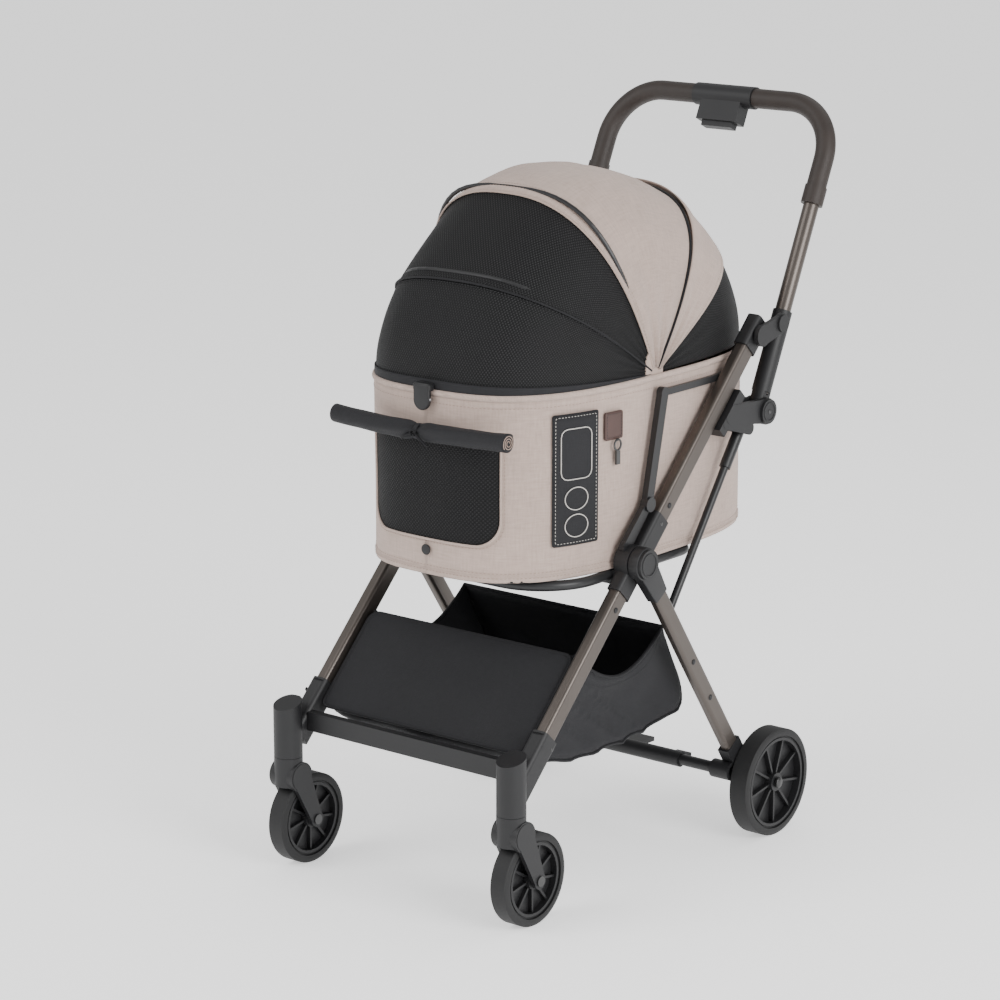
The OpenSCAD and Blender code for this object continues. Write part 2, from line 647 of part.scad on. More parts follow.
// A canopy skin: arches about the pivot line, from angle a0 to a1 over the back, with radius
// rise(a); inner is how far it is nested inside the outermost skin
function rise(a) = a < 90 ? carrier_front - 2 + (canopy_rise - carrier_front + 2) * sin(a)
    : canopy_rise + (carrier_rear - 8 - canopy_rise) * pow((a - 90) / 90, 2);
arch_steps = 28;
end_angle = 9;
function arch_point(a, u, w, r) = [
    w * sign(cos(u)) * pow(abs(cos(u)), plan_exp),
    pivot[0] - r * pow(sin(u), plan_exp) * cos(a),
    carrier_top + 8 + rim_gap + r * pow(sin(u), plan_exp) * sin(a)];
module skin(a0, a1, inner, nested) {
    steps = ceil((a1 - a0) / 7);
    count = arch_steps + 1;
    function angle(i) = a0 + (a1 - a0) * i / steps;
    function reach(a) = nested ? carrier_front - 2 - inner : rise(a) - inner;
    function arch(i, g) = [for (j = [0:arch_steps])
        arch_point(angle(i), end_angle + (180 - 2 * end_angle) * j / arch_steps,
            half_w - 4 - inner - g, reach(angle(i)) - g)];
    points = concat([for (i = [0:steps]) each arch(i, 0)], [for (i = [0:steps]) each arch(i, canopy_cloth)]);
    deep = (steps + 1) * count;
    function quad(a, b, c, d) = [[a, b, c], [a, c, d]];
    faces = concat(
        [for (i = [0:steps - 1], j = [0:arch_steps - 1]) let (p = i * count + j)
            each quad(p, p + 1, p + count + 1, p + count)],
        [for (i = [0:steps - 1], j = [0:arch_steps - 1]) let (p = deep + i * count + j)
            each quad(p, p + count, p + count + 1, p + 1)],
        [for (j = [0:arch_steps - 1]) each quad(j, deep + j, deep + j + 1, j + 1)],
        [for (j = [0:arch_steps - 1]) let (p = steps * count + j)
            each quad(p, p + 1, deep + p + 1, deep + p)],
        [for (i = [0:steps - 1]) let (p = i * count) each quad(p, p + count, deep + p + count, deep + p)],
        [for (i = [0:steps - 1]) let (p = i * count + arch_steps)
            each quad(p, deep + p, deep + p + count, p + count)]);
    polyhedron(points, faces);
}

// A round bow along one arch
bow_sides = 8;
module bow(a, inner, nested) {
    r = nested ? carrier_front - 2 - inner : rise(a) - inner;
    w = half_w - 4 - inner;
    function centre(j) = arch_point(a, end_angle + (180 - 2 * end_angle) * j / arch_steps, w, r);
    function heading(j) = let (d = centre(min(j + 1, arch_steps)) - centre(max(j - 1, 0))) d / norm(d);
    side_dir = [0, sin(a), cos(a)];
    points = [for (j = [0:arch_steps]) let (n = cross(heading(j), side_dir)) for (k = [0:bow_sides - 1])
        centre(j) + bow_r * (n * cos(k * 360 / bow_sides) + side_dir * sin(k * 360 / bow_sides))];
    faces = concat(
        [[for (k = [bow_sides - 1:-1:0]) k]],
        [for (j = [0:arch_steps - 1], k = [0:bow_sides - 1]) let (n = (k + 1) % bow_sides, p = j * bow_sides)
            [p + k, p + n, p + bow_sides + n, p + bow_sides + k]],
        [[for (k = [0:bow_sides - 1]) arch_steps * bow_sides + k]]);
    polyhedron(points, faces);
}

module canopy_main() color(cloth) skin(main_angle, rear_angle, 0, false);
module canopy_rear() color(dark_cloth) skin(rear_angle + 0.4, 178, 0, false);
module canopy_bows() color(black_plastic) {
    bow(main_angle + 1.5, canopy_cloth + bow_r + 0.6, false);
    bow(rear_angle, canopy_cloth + bow_r + 0.6, false);
}
module canopy_mid() color(dark_cloth) skin(mid_angle, main_angle - 0.4, layer, true);
module mid_bow() color(black_plastic) bow(mid_angle + 1.5, layer + canopy_cloth + bow_r + 0.6, true);
module canopy_front() color(dark_cloth) skin(1, mid_angle - 0.4, 2 * layer, true);
module front_bow() color(black_plastic) bow(2.5, 2 * layer + canopy_cloth + bow_r + 0.6, true);

latch_at = [plan_mid - plan_len - 7, carrier_top - 14];
module front_latch() color(black_plastic) difference() {
    union() {
        translate([-13, latch_at[0] - 5, latch_at[1] - 4]) cube([26, 9, 34]);
        cross_pin(-13, 13, latch_at, 5);
    }
    cross_pin(-14, 14, latch_at, 2);
}

tether_at = [pivot[0] - 85, carrier_top - 72];
module tether_hook() color(steel) translate([half_w + 2, tether_at[0], tether_at[1]]) {
    rotate([0, 90, 0]) rotate_extrude() translate([7, 0]) circle(1.5, $fn = 24);
    translate([-1.5, -4, -26]) cube([3, 8, 18]);
}

caster_housing(-1);  // caster_housing_left
caster_housing(1);  // caster_housing_right
lower_leg(-1);  // lower_leg_left
lower_leg(1);  // lower_leg_right
upper_leg(-1);  // upper_leg_left
upper_leg(1);  // upper_leg_right
hub_bracket(-1);  // hub_bracket_left
hub_bracket(1);  // hub_bracket_right
pivot_pins();
top_brackets();
side_arms();
carrier_rail();
rear_hoop();
front_crossbar();
basket_panel();
storage_basket();
brace_slider(-1);  // brace_slider_left
brace_slider(1);  // brace_slider_right
brace_rod(-1);  // brace_rod_left
brace_rod(1);  // brace_rod_right
handle_sleeve(-1);  // handle_sleeve_left
handle_sleeve(1);  // handle_sleeve_right
handle_tube();
handle_grips();
handle_housing();
release_button();
rear_leg(-1);  // rear_leg_left
rear_leg(1);  // rear_leg_right
rear_bracket(-1);  // rear_bracket_left
rear_bracket(1);  // rear_bracket_right
rear_crossbar();
rear_axles();
brake_bar();
rear_rim(-1);  // rear_rim_left
rear_rim(1);  // rear_rim_right
rear_tyre(-1);  // rear_tyre_left
rear_tyre(1);  // rear_tyre_right
caster_fork(-1);  // caster_fork_left
caster_fork(1);  // caster_fork_right
front_axle_pin(-1);  // front_axle_left
front_axle_pin(1);  // front_axle_right
front_rim(-1);  // front_rim_left
front_rim(1);  // front_rim_right
front_tyre(-1);  // front_tyre_left
front_tyre(1);  // front_tyre_right
carrier_shell();
window_mesh();
rim_hoop();
floor_board();
floor_pad();
shade_roll();
canopy_main();
canopy_rear();
canopy_bows();
front_latch();
canopy_mid();
mid_bow();
canopy_front();
front_bow();
tether_hook();
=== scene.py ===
import json
import math
import bmesh
import bpy
import numpy as np
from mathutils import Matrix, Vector, noise


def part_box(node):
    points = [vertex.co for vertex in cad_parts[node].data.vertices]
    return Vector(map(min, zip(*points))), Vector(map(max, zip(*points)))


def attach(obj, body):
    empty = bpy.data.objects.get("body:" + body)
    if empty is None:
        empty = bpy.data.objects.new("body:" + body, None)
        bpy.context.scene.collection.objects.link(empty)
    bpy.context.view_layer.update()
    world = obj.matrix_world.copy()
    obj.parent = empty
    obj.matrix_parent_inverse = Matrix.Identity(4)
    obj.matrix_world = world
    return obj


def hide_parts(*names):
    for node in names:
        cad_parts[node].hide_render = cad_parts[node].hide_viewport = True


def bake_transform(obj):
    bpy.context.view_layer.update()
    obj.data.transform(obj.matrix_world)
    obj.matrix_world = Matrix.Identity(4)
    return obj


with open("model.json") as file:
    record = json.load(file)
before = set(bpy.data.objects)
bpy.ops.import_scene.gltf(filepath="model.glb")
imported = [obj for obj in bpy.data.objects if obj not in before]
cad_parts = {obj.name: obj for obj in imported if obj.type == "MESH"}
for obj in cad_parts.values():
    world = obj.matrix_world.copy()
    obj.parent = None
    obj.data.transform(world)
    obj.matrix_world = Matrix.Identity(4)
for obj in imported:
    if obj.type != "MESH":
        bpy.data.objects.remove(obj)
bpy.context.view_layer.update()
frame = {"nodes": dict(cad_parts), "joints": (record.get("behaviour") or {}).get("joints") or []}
nodes = frame["nodes"]
joints = {j["name"]: j for j in frame["joints"]}
print("frame loaded:", len(nodes), "nodes")

# ---- camera, light and floor ----
stage = {"place": (2.7024, -3.4792, 1.548), "azimuth": 39.0, "pitch": 13.7, "lens": 118.87, "floor": 30.0}


def makeCamera():
    data = bpy.data.cameras.new("camera")
    data.lens, data.sensor_width, data.clip_end = stage["lens"], 36.0, 100.0
    camera = bpy.data.objects.new("camera", data)
    camera.location = stage["place"]
    camera.rotation_euler = (math.radians(90 - stage["pitch"]), 0, math.radians(stage["azimuth"]))
    bpy.context.scene.collection.objects.link(camera)
    bpy.context.scene.camera = camera


def makeLight(name, place, size, power):
    data = bpy.data.lights.new(name, "AREA")
    data.energy, data.size = power, size
    lamp = bpy.data.objects.new(name, data)
    lamp.location = place
    lamp.rotation_euler = (Vector((0, 0, 0.45)) - Vector(place)).to_track_quat("-Z", "Y").to_euler()
    bpy.context.scene.collection.objects.link(lamp)


def addNode(tree, kind, inputs=None, **settings):
    node = tree.nodes.new(kind)
    for key, value in settings.items():
        setattr(node, key, value)
    for key, value in (inputs or {}).items():
        node.inputs[key].default_value = value
    return node


def makeStage():
    world = bpy.data.worlds.new("studio")
    world.use_nodes = True
    world.node_tree.nodes["Background"].inputs["Color"].default_value = (1, 1, 1, 1)
    world.node_tree.nodes["Background"].inputs["Strength"].default_value = 0.7
    bpy.context.scene.world = world
    makeLight("keyLight", (-1.4, -3.2, 2.8), 2.4, 80)
    makeLight("fillLight", (3.6, -0.6, 1.8), 2.0, 120)
    makeLight("topLight", (0.2, 1.6, 3.4), 2.6, 18)
    half = stage["floor"] / 2
    mesh = bpy.data.meshes.new("floor")
    mesh.from_pydata([(-half, -half, 0), (half, -half, 0), (half, half, 0), (-half, half, 0)], [], [(0, 1, 2, 3)])
    floor = bpy.data.objects.new("floor", mesh)
    bpy.context.scene.collection.objects.link(floor)
    paper = bpy.data.materials.new("paper")
    paper.use_nodes = True
    tree = paper.node_tree
    shader = tree.nodes["Principled BSDF"]
    shader.inputs["Roughness"].default_value = 0.9
    shader.inputs["Emission Color"].default_value = (1, 1, 1, 1)
    shader.inputs["Emission Strength"].default_value = 0.7
    grain = addNode(tree, "ShaderNodeTexNoise", {"Scale": 3.0})
    tone = addNode(tree, "ShaderNodeMix", data_type="RGBA")
    tone.inputs["A"].default_value = (0.93, 0.93, 0.93, 1)
    tone.inputs["B"].default_value = (0.95, 0.95, 0.95, 1)
    tree.links.new(grain.outputs["Fac"], tone.inputs["Factor"])
    tree.links.new(tone.outputs["Result"], shader.inputs["Base Color"])
    mesh.materials.append(paper)


makeCamera()
makeStage()
print("camera and stage ready")


# ---- materials: patterns read Object coordinates, or UV in metres on cloth ----
def waveScale(pitch):
    return 2 * math.pi / 20 / pitch


def startMaterial(name, roughness, metallic=0.0, specular=0.5, sheen=0.0, coat=0.0):
    material = bpy.data.materials.new(name)
    material.use_nodes = True
    tree = material.node_tree
    shader = tree.nodes["Principled BSDF"]
    shader.inputs["Roughness"].default_value = roughness
    shader.inputs["Metallic"].default_value = metallic
    shader.inputs["Specular IOR Level"].default_value = specular
    shader.inputs["Sheen Weight"].default_value = sheen
    shader.inputs["Sheen Roughness"].default_value = 0.5
    shader.inputs["Coat Weight"].default_value = coat
    return material, tree, shader


def mixColours(tree, factor, low, high, socket):
    mix = addNode(tree, "ShaderNodeMix", data_type="RGBA")
    mix.inputs["A"].default_value = (*low, 1)
    mix.inputs["B"].default_value = (*high, 1)
    tree.links.new(factor, mix.inputs["Factor"])
    if socket is not None:
        tree.links.new(mix.outputs["Result"], socket)
    return mix.outputs["Result"]


def addMath(tree, operation, first, second):
    node = addNode(tree, "ShaderNodeMath", operation=operation)
    for socket, value in zip(node.inputs, (first, second)):
        if isinstance(value, (int, float)):
            socket.default_value = value
        else:
            tree.links.new(value, socket)
    return node.outputs[0]


def addBump(tree, shader, height, distance, strength=1.0):
    bump = addNode(tree, "ShaderNodeBump", {"Strength": strength, "Distance": distance})
    tree.links.new(height, bump.inputs["Height"])
    tree.links.new(bump.outputs["Normal"], shader.inputs["Normal"])


def varyRoughness(tree, shader, factor, low, high):
    span = addNode(tree, "ShaderNodeMapRange", {"To Min": low, "To Max": high})
    tree.links.new(factor, span.inputs["Value"])
    tree.links.new(span.outputs["Result"], shader.inputs["Roughness"])


def wovenCloth(name, low, high, pitch, bump, sheen=0.2, slub=0.5, roughness=0.92):
    # warp and weft as two bands, slubs stretched along each, and a slow change of tone
    material, tree, shader = startMaterial(name, roughness, specular=0.25, sheen=sheen)
    place = addNode(tree, "ShaderNodeTexCoord")
    uv = place.outputs["UV"]
    bands = []
    for direction, stretch in (("X", (1.0, 0.12, 1.0)), ("Y", (0.12, 1.0, 1.0))):
        wave = addNode(tree, "ShaderNodeTexWave", {"Scale": waveScale(pitch), "Distortion": 0.6,
            "Detail": 1.0}, wave_type="BANDS", bands_direction=direction)
        tree.links.new(uv, wave.inputs["Vector"])
        turn = addNode(tree, "ShaderNodeMapping", {"Scale": stretch})
        tree.links.new(uv, turn.inputs["Vector"])
        slubs = addNode(tree, "ShaderNodeTexNoise", {"Scale": 0.55 / pitch, "Detail": 3.0})
        tree.links.new(turn.outputs["Vector"], slubs.inputs["Vector"])
        bands.append((wave.outputs["Fac"], slubs.outputs["Fac"]))
    weave = addMath(tree, "MAXIMUM", bands[0][0], bands[1][0])
    threads = addMath(tree, "MULTIPLY", addMath(tree, "ADD", bands[0][1], bands[1][1]), slub)
    tone = addNode(tree, "ShaderNodeTexNoise", {"Scale": 9.0, "Detail": 2.0})
    tree.links.new(place.outputs["Object"], tone.inputs["Vector"])
    shade = addMath(tree, "ADD", addMath(tree, "MULTIPLY", weave, 0.35), threads)
    shade = addMath(tree, "ADD", shade, addMath(tree, "MULTIPLY", tone.outputs["Fac"], 0.3))
    shade = addMath(tree, "MULTIPLY", addMath(tree, "SUBTRACT", shade, 0.35), 1.25)
    mixColours(tree, shade, low, high, shader.inputs["Base Color"])
    addBump(tree, shader, addMath(tree, "ADD", weave, threads), bump)
    varyRoughness(tree, shader, threads, roughness - 0.08, roughness + 0.05)
    return material


def openMesh(name, thread, hole, pitch, bump, roughness=0.62):
    # a knitted net: staggered round holes between lighter threads
    material, tree, shader = startMaterial(name, roughness, specular=0.2, sheen=0.01)
    place = addNode(tree, "ShaderNodeTexCoord")
    turn = addNode(tree, "ShaderNodeMapping", {"Rotation": (0, 0, math.radians(45))})
    tree.links.new(place.outputs["UV"], turn.inputs["Vector"])
    waves = []
    for direction in ("X", "Y"):
        wave = addNode(tree, "ShaderNodeTexWave", {"Scale": waveScale(pitch), "Distortion": 0.15},
            wave_type="BANDS", bands_direction=direction)
        tree.links.new(turn.outputs["Vector"], wave.inputs["Vector"])
        waves.append(wave.outputs["Fac"])
    net = addMath(tree, "MULTIPLY", waves[0], waves[1])
    tone = addNode(tree, "ShaderNodeTexNoise", {"Scale": 14.0, "Detail": 3.0})
    tree.links.new(place.outputs["Object"], tone.inputs["Vector"])
    factor = addMath(tree, "MULTIPLY", net, addMath(tree, "ADD", tone.outputs["Fac"], 0.35))
    mixColours(tree, factor, hole, thread, shader.inputs["Base Color"])
    addBump(tree, shader, net, bump)
    varyRoughness(tree, shader, tone.outputs["Fac"], roughness - 0.1, roughness + 0.1)
    return material


def mouldedPlastic(name, low, high, roughness, grain=0.0012, bump=0.00006):
    material, tree, shader = startMaterial(name, roughness, specular=0.4)
    place = addNode(tree, "ShaderNodeTexCoord")
    fine = addNode(tree, "ShaderNodeTexNoise", {"Scale": 1 / grain, "Detail": 2.0})
    broad = addNode(tree, "ShaderNodeTexNoise", {"Scale": 22.0, "Detail": 4.0})
    for texture in (fine, broad):
        tree.links.new(place.outputs["Object"], texture.inputs["Vector"])
    mixColours(tree, broad.outputs["Fac"], low, high, shader.inputs["Base Color"])
    varyRoughness(tree, shader, broad.outputs["Fac"], roughness - 0.09, roughness + 0.09)
    addBump(tree, shader, fine.outputs["Fac"], bump)
    return material


def anodisedTube(name, low, high):
    material, tree, shader = startMaterial(name, 0.36, metallic=0.75, specular=0.5, coat=0.08)
    place = addNode(tree, "ShaderNodeTexCoord")
    grain = addNode(tree, "ShaderNodeTexNoise", {"Scale": 1400.0, "Detail": 2.0})
    broad = addNode(tree, "ShaderNodeTexNoise", {"Scale": 12.0, "Detail": 5.0})
    for texture in (grain, broad):
        tree.links.new(place.outputs["Object"], texture.inputs["Vector"])
    mixColours(tree, broad.outputs["Fac"], low, high, shader.inputs["Base Color"])
    varyRoughness(tree, shader, grain.outputs["Fac"], 0.3, 0.44)
    addBump(tree, shader, grain.outputs["Fac"], 0.00003)
    return material


def leatherSkin(name, low, high, cell=0.0016, bump=0.0003):
    material, tree, shader = startMaterial(name, 0.5, specular=0.4)
    place = addNode(tree, "ShaderNodeTexCoord")
    cells = addNode(tree, "ShaderNodeTexVoronoi", {"Scale": 1 / cell}, feature="DISTANCE_TO_EDGE")
    broad = addNode(tree, "ShaderNodeTexNoise", {"Scale": 40.0, "Detail": 4.0})
    for texture in (cells, broad):
        tree.links.new(place.outputs["Object"], texture.inputs["Vector"])
    mixColours(tree, broad.outputs["Fac"], low, high, shader.inputs["Base Color"])
    varyRoughness(tree, shader, broad.outputs["Fac"], 0.42, 0.6)
    addBump(tree, shader, cells.outputs["Distance"], bump)
    return material


def thread(name, low, high):
    material, tree, shader = startMaterial(name, 0.7, specular=0.3, sheen=0.1)
    place = addNode(tree, "ShaderNodeTexCoord")
    twist = addNode(tree, "ShaderNodeTexNoise", {"Scale": 900.0})
    tree.links.new(place.outputs["Object"], twist.inputs["Vector"])
    mixColours(tree, twist.outputs["Fac"], low, high, shader.inputs["Base Color"])
    return material


finish = {
    "linen": wovenCloth("linen", (0.30, 0.224, 0.186), (0.53, 0.415, 0.360), 0.0015, 0.00035),
    "lining": wovenCloth("lining", (0.30, 0.22, 0.18), (0.42, 0.32, 0.27), 0.0012, 0.0002),
    "net": openMesh("net", (0.030, 0.030, 0.031), (0.003, 0.003, 0.0034), 0.0030, 0.0006),
    "windowNet": openMesh("windowNet", (0.020, 0.020, 0.021), (0.002, 0.002, 0.0024), 0.0038, 0.0008),
    "nylon": wovenCloth("nylon", (0.005, 0.005, 0.0058), (0.018, 0.018, 0.0205), 0.0009, 0.00012,
        sheen=0.03, roughness=0.7),
    "padCloth": wovenCloth("padCloth", (0.02, 0.02, 0.023), (0.045, 0.045, 0.05), 0.002, 0.0005),
    "tubePaint": anodisedTube("tubePaint", (0.078, 0.066, 0.058), (0.112, 0.096, 0.086)),
    "blackTube": mouldedPlastic("blackTube", (0.010, 0.010, 0.011), (0.018, 0.018, 0.019), 0.38, 0.0008, 0.00003),
    "plastic": mouldedPlastic("plastic", (0.008, 0.008, 0.0088), (0.015, 0.015, 0.0162), 0.5),
    "rubber": mouldedPlastic("rubber", (0.007, 0.007, 0.0075), (0.014, 0.014, 0.0145), 0.62, 0.002, 0.00012),
    "gripLeather": leatherSkin("gripLeather", (0.017, 0.012, 0.010), (0.034, 0.025, 0.021)),
    "tabLeather": leatherSkin("tabLeather", (0.050, 0.026, 0.022), (0.085, 0.047, 0.040), 0.0012, 0.0002),
    "steel": mouldedPlastic("steel", (0.30, 0.30, 0.31), (0.42, 0.42, 0.43), 0.3, 0.0006, 0.00002),
    "gunmetal": mouldedPlastic("gunmetal", (0.05, 0.05, 0.05), (0.11, 0.11, 0.11), 0.32, 0.0006, 0.00002),
    "paleThread": thread("paleThread", (0.45, 0.43, 0.40), (0.65, 0.62, 0.58)),
    "linenThread": thread("linenThread", (0.27, 0.19, 0.155), (0.36, 0.26, 0.22)),
    "darkThread": thread("darkThread", (0.008, 0.008, 0.009), (0.03, 0.03, 0.032)),
}
for name in ("steel", "gunmetal"):
    finish[name].node_tree.nodes["Principled BSDF"].inputs["Metallic"].default_value = 0.9

cadFinish = {
    "tubePaint": ("lower_leg", "upper_leg", "handle_tube", "rear_leg"),
    "blackTube": ("side_arms", "carrier_rail", "rear_hoop", "rear_crossbar", "brace_rod", "canopy_bows",
        "mid_bow", "front_bow"),
    "plastic": ("caster_housing", "hub_bracket", "pivot_pins", "top_brackets", "front_crossbar",
        "brace_slider", "handle_sleeve", "handle_housing", "release_button", "rear_bracket", "brake_bar",
        "rear_rim", "caster_fork", "front_rim", "floor_board", "front_latch"),
    "rubber": ("rear_tyre", "front_tyre"),
    "gripLeather": ("handle_grips",),
    "gunmetal": ("rear_axles", "front_axle", "tether_hook"),
}


def dressCadNodes():
    for material, names in cadFinish.items():
        for name, node in nodes.items():
            if name.startswith(names):
                node.data.materials.clear()
                node.data.materials.append(finish[material])


dressCadNodes()
print("materials ready:", len(finish))


# ---- mesh helpers ----
def meshObject(name, points, faces, material, smooth=True, uvs=None):
    mesh = bpy.data.meshes.new(name)
    mesh.from_pydata([tuple(p) for p in points], [], faces)
    if uvs is not None:
        layer = mesh.uv_layers.new(name="UVMap")
        corner = np.zeros(len(mesh.loops), np.int32)
        mesh.loops.foreach_get("vertex_index", corner)
        layer.data.foreach_set("uv", np.asarray(uvs, np.float32)[corner].ravel())
    mesh.materials.append(finish[material])
    mesh.polygons.foreach_set("use_smooth", [smooth] * len(mesh.polygons))
    mesh.update()
    piece = bpy.data.objects.new(name, mesh)
    bpy.context.scene.collection.objects.link(piece)
    return piece


def gridFaces(rows, columns, loop=False, flip=False):
    faces = []
    for i in range(rows - 1):
        for j in range(columns if loop else columns - 1):
            k = (j + 1) % columns
            face = (i * columns + j, i * columns + k, (i + 1) * columns + k, (i + 1) * columns + j)
            faces.append(face[::-1] if flip else face)
    return faces


def fanFaces(rings, count):
    # rings round a middle, which one face closes
    return gridFaces(rings, count, True, True) + [tuple(range(count))]


def gridLengths(grid):
    # metres along the rows and along the columns, which are the cloth's UV
    across = np.linalg.norm(np.diff(grid, axis=1), axis=2)
    down = np.linalg.norm(np.diff(grid, axis=0), axis=2)
    u = np.concatenate([np.zeros((len(grid), 1)), np.cumsum(across, axis=1)], axis=1)
    v = np.concatenate([np.zeros((1, grid.shape[1])), np.cumsum(down, axis=0)], axis=0)
    return u - u.mean(axis=1, keepdims=True), np.repeat(v.mean(axis=1, keepdims=True), grid.shape[1], axis=1)


def gridArea(grid):
    a, b = grid[1:, 1:] - grid[:-1, :-1], grid[1:, :-1] - grid[:-1, 1:]
    return float(np.linalg.norm(np.cross(a, b), axis=2).sum() / 2)


def gridNormals(grid, loop=False):
    if loop:
        across = np.roll(grid, -1, axis=1) - np.roll(grid, 1, axis=1)
    else:
        across = np.gradient(grid, axis=1)
    normal = np.cross(across, np.gradient(grid, axis=0))
    return normal / np.maximum(np.linalg.norm(normal, axis=2, keepdims=True), 1e-9)


def clothPiece(name, grid, material, thickness, loop=False, flip=False, offset=-1.0):
    u, v = gridLengths(grid)
    piece = meshObject(name, grid.reshape(-1, 3), gridFaces(*grid.shape[:2], loop, flip), material,
        uvs=np.stack([u, v], axis=2).reshape(-1, 2))
    if thickness:
        wall = piece.modifiers.new("wall", "SOLIDIFY")
        wall.thickness, wall.offset = thickness, offset
    return piece


def declareSheet(piece, grid, flat=None):
    area = gridArea(grid)
    if flat is None:
        u, v = gridLengths(grid)
        flat = (float(np.ptp(u, axis=1).max()), float(np.ptp(v[:, 0])))
    flat = tuple(round(max(x, 0.012), 3) for x in flat)
    share = area / (flat[0] * flat[1])
    area = round(min(area, 0.999 * flat[0] * flat[1]), 4) if share > 0.32 else None
    print("sheet", piece.name, "flat", flat, "area", area)


def tubeMesh(line, radius, sides=8, loop=False, flat=1.0, up=None):
    # rings round a line, with closed ends where it is open
    line = np.asarray(line, float)
    count = len(line)
    if loop:
        heading = np.roll(line, -1, axis=0) - np.roll(line, 1, axis=0)
    else:
        heading = np.gradient(line, axis=0)
    heading /= np.linalg.norm(heading, axis=1, keepdims=True)
    side = np.cross(heading[0], (0, 0, 1) if up is None else up)
    if np.linalg.norm(side) < 1e-3:
        side = np.cross(heading[0], (1, 0, 0))
    points = []
    for k in range(count):
        side = side - heading[k] * (side @ heading[k])
        side /= np.linalg.norm(side)
        other = np.cross(heading[k], side)
        width = radius[k] if hasattr(radius, "__len__") else radius
        for n in range(sides):
            turn = 2 * math.pi * n / sides
            points.append(line[k] + side * math.cos(turn) * width + other * math.sin(turn) * width * flat)
    faces = []
    for k in range(count if loop else count - 1):
        for n in range(sides):
            m, q = (n + 1) % sides, (k + 1) % count
            faces.append((k * sides + n, k * sides + m, q * sides + m, q * sides + n))
    if not loop:
        faces.append(tuple(range(sides - 1, -1, -1)))
        faces.append(tuple((count - 1) * sides + n for n in range(sides)))
    return points, faces


def tubePiece(name, lines, radius, material, body, slot, sides=8, loop=False, flat=1.0):
    points, faces = [], []
    for line in lines:
        more, extra = tubeMesh(line, radius, sides, loop, flat)
        faces += [tuple(len(points) + n for n in face) for face in extra]
        points += more
    piece = meshObject(name, points, faces, material)
    fixNormals(piece)
    return dress(piece, body, slot)


def fixNormals(piece):
    work = bmesh.new()
    work.from_mesh(piece.data)
    bmesh.ops.recalc_face_normals(work, faces=work.faces)
    work.to_mesh(piece.data)
    work.free()


def dress(piece, body, slot, *replaced):
    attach(piece, body)
    if replaced:
        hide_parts(*replaced)
    return piece


def roundedPlate(name, outline, depth, place, axes, material, bevel=0.0008):
    # a closed outline in two axes, extruded by depth along the third
    across, upward, outward = (np.array(a, float) for a in axes)
    base = [np.array(place) + across * a + upward * b for a, b in outline]
    count = len(base)
    points = base + [p + outward * depth for p in base]
    faces = [tuple(range(count - 1, -1, -1)), tuple(range(count, 2 * count))]
    faces += [(k, (k + 1) % count, count + (k + 1) % count, count + k) for k in range(count)]
    piece = meshObject(name, points, faces, material)
    fixNormals(piece)
    edge = piece.modifiers.new("edge", "BEVEL")
    edge.width, edge.segments, edge.limit_method, edge.angle_limit = bevel, 3, "ANGLE", math.radians(40)
    edge.harden_normals = False
    return piece


def roundedOutline(halfWidth, low, high, radii, steps=8):
    # a rectangle whose corners have their own radii, from the low right corner round
    corners = ((halfWidth, low, -90), (halfWidth, high, 0), (-halfWidth, high, 90), (-halfWidth, low, 180))
    outline = []
    for (x, z, start), radius in zip(corners, radii):
        centre = (x - math.copysign(radius, x), z + (radius if z == low else -radius))
        for k in range(steps + 1):
            turn = math.radians(start + 90 * k / steps)
            outline.append((centre[0] + radius * math.cos(turn), centre[1] + radius * math.sin(turn)))
    return outline


# ---- Geometry Nodes: stitches along a line, rivets on points ----
def newTree(name, inputs):
    tree = bpy.data.node_groups.new(name, "GeometryNodeTree")
    tree.interface.new_socket("Geometry", in_out="INPUT", socket_type="NodeSocketGeometry")
    for label, kind, value in inputs:
        socket = tree.interface.new_socket(label, in_out="INPUT", socket_type=kind)
        if value is not None:
            socket.default_value = value
    tree.interface.new_socket("Geometry", in_out="OUTPUT", socket_type="NodeSocketGeometry")
    return tree, tree.nodes.new("NodeGroupInput"), tree.nodes.new("NodeGroupOutput")


def makeStitchTree():
    tree, start, end = newTree("stitchRow", [("Spacing", "NodeSocketFloat", 0.005), ("Length", "NodeSocketFloat", 0.003),
        ("Thickness", "NodeSocketFloat", 0.0007), ("Thread", "NodeSocketMaterial", None)])
    link = tree.links.new
    spots = addNode(tree, "GeometryNodeCurveToPoints", mode="LENGTH")
    stitch = addNode(tree, "GeometryNodeMeshUVSphere", {"Segments": 6, "Rings": 4, "Radius": 0.5})
    size = addNode(tree, "ShaderNodeCombineXYZ")
    place = addNode(tree, "GeometryNodeInstanceOnPoints")
    whole = addNode(tree, "GeometryNodeRealizeInstances")
    colour = addNode(tree, "GeometryNodeSetMaterial")
    link(start.outputs["Geometry"], spots.inputs["Curve"])
    link(start.outputs["Spacing"], spots.inputs["Length"])
    link(start.outputs["Thickness"], size.inputs["X"])
    link(start.outputs["Thickness"], size.inputs["Y"])
    link(start.outputs["Length"], size.inputs["Z"])
    link(spots.outputs["Points"], place.inputs["Points"])
    link(spots.outputs["Rotation"], place.inputs["Rotation"])
    link(stitch.outputs["Mesh"], place.inputs["Instance"])
    link(size.outputs["Vector"], place.inputs["Scale"])
    link(place.outputs["Instances"], whole.inputs["Geometry"])
    link(whole.outputs["Geometry"], colour.inputs["Geometry"])
    link(start.outputs["Thread"], colour.inputs["Material"])
    link(colour.outputs["Geometry"], end.inputs["Geometry"])
    return tree


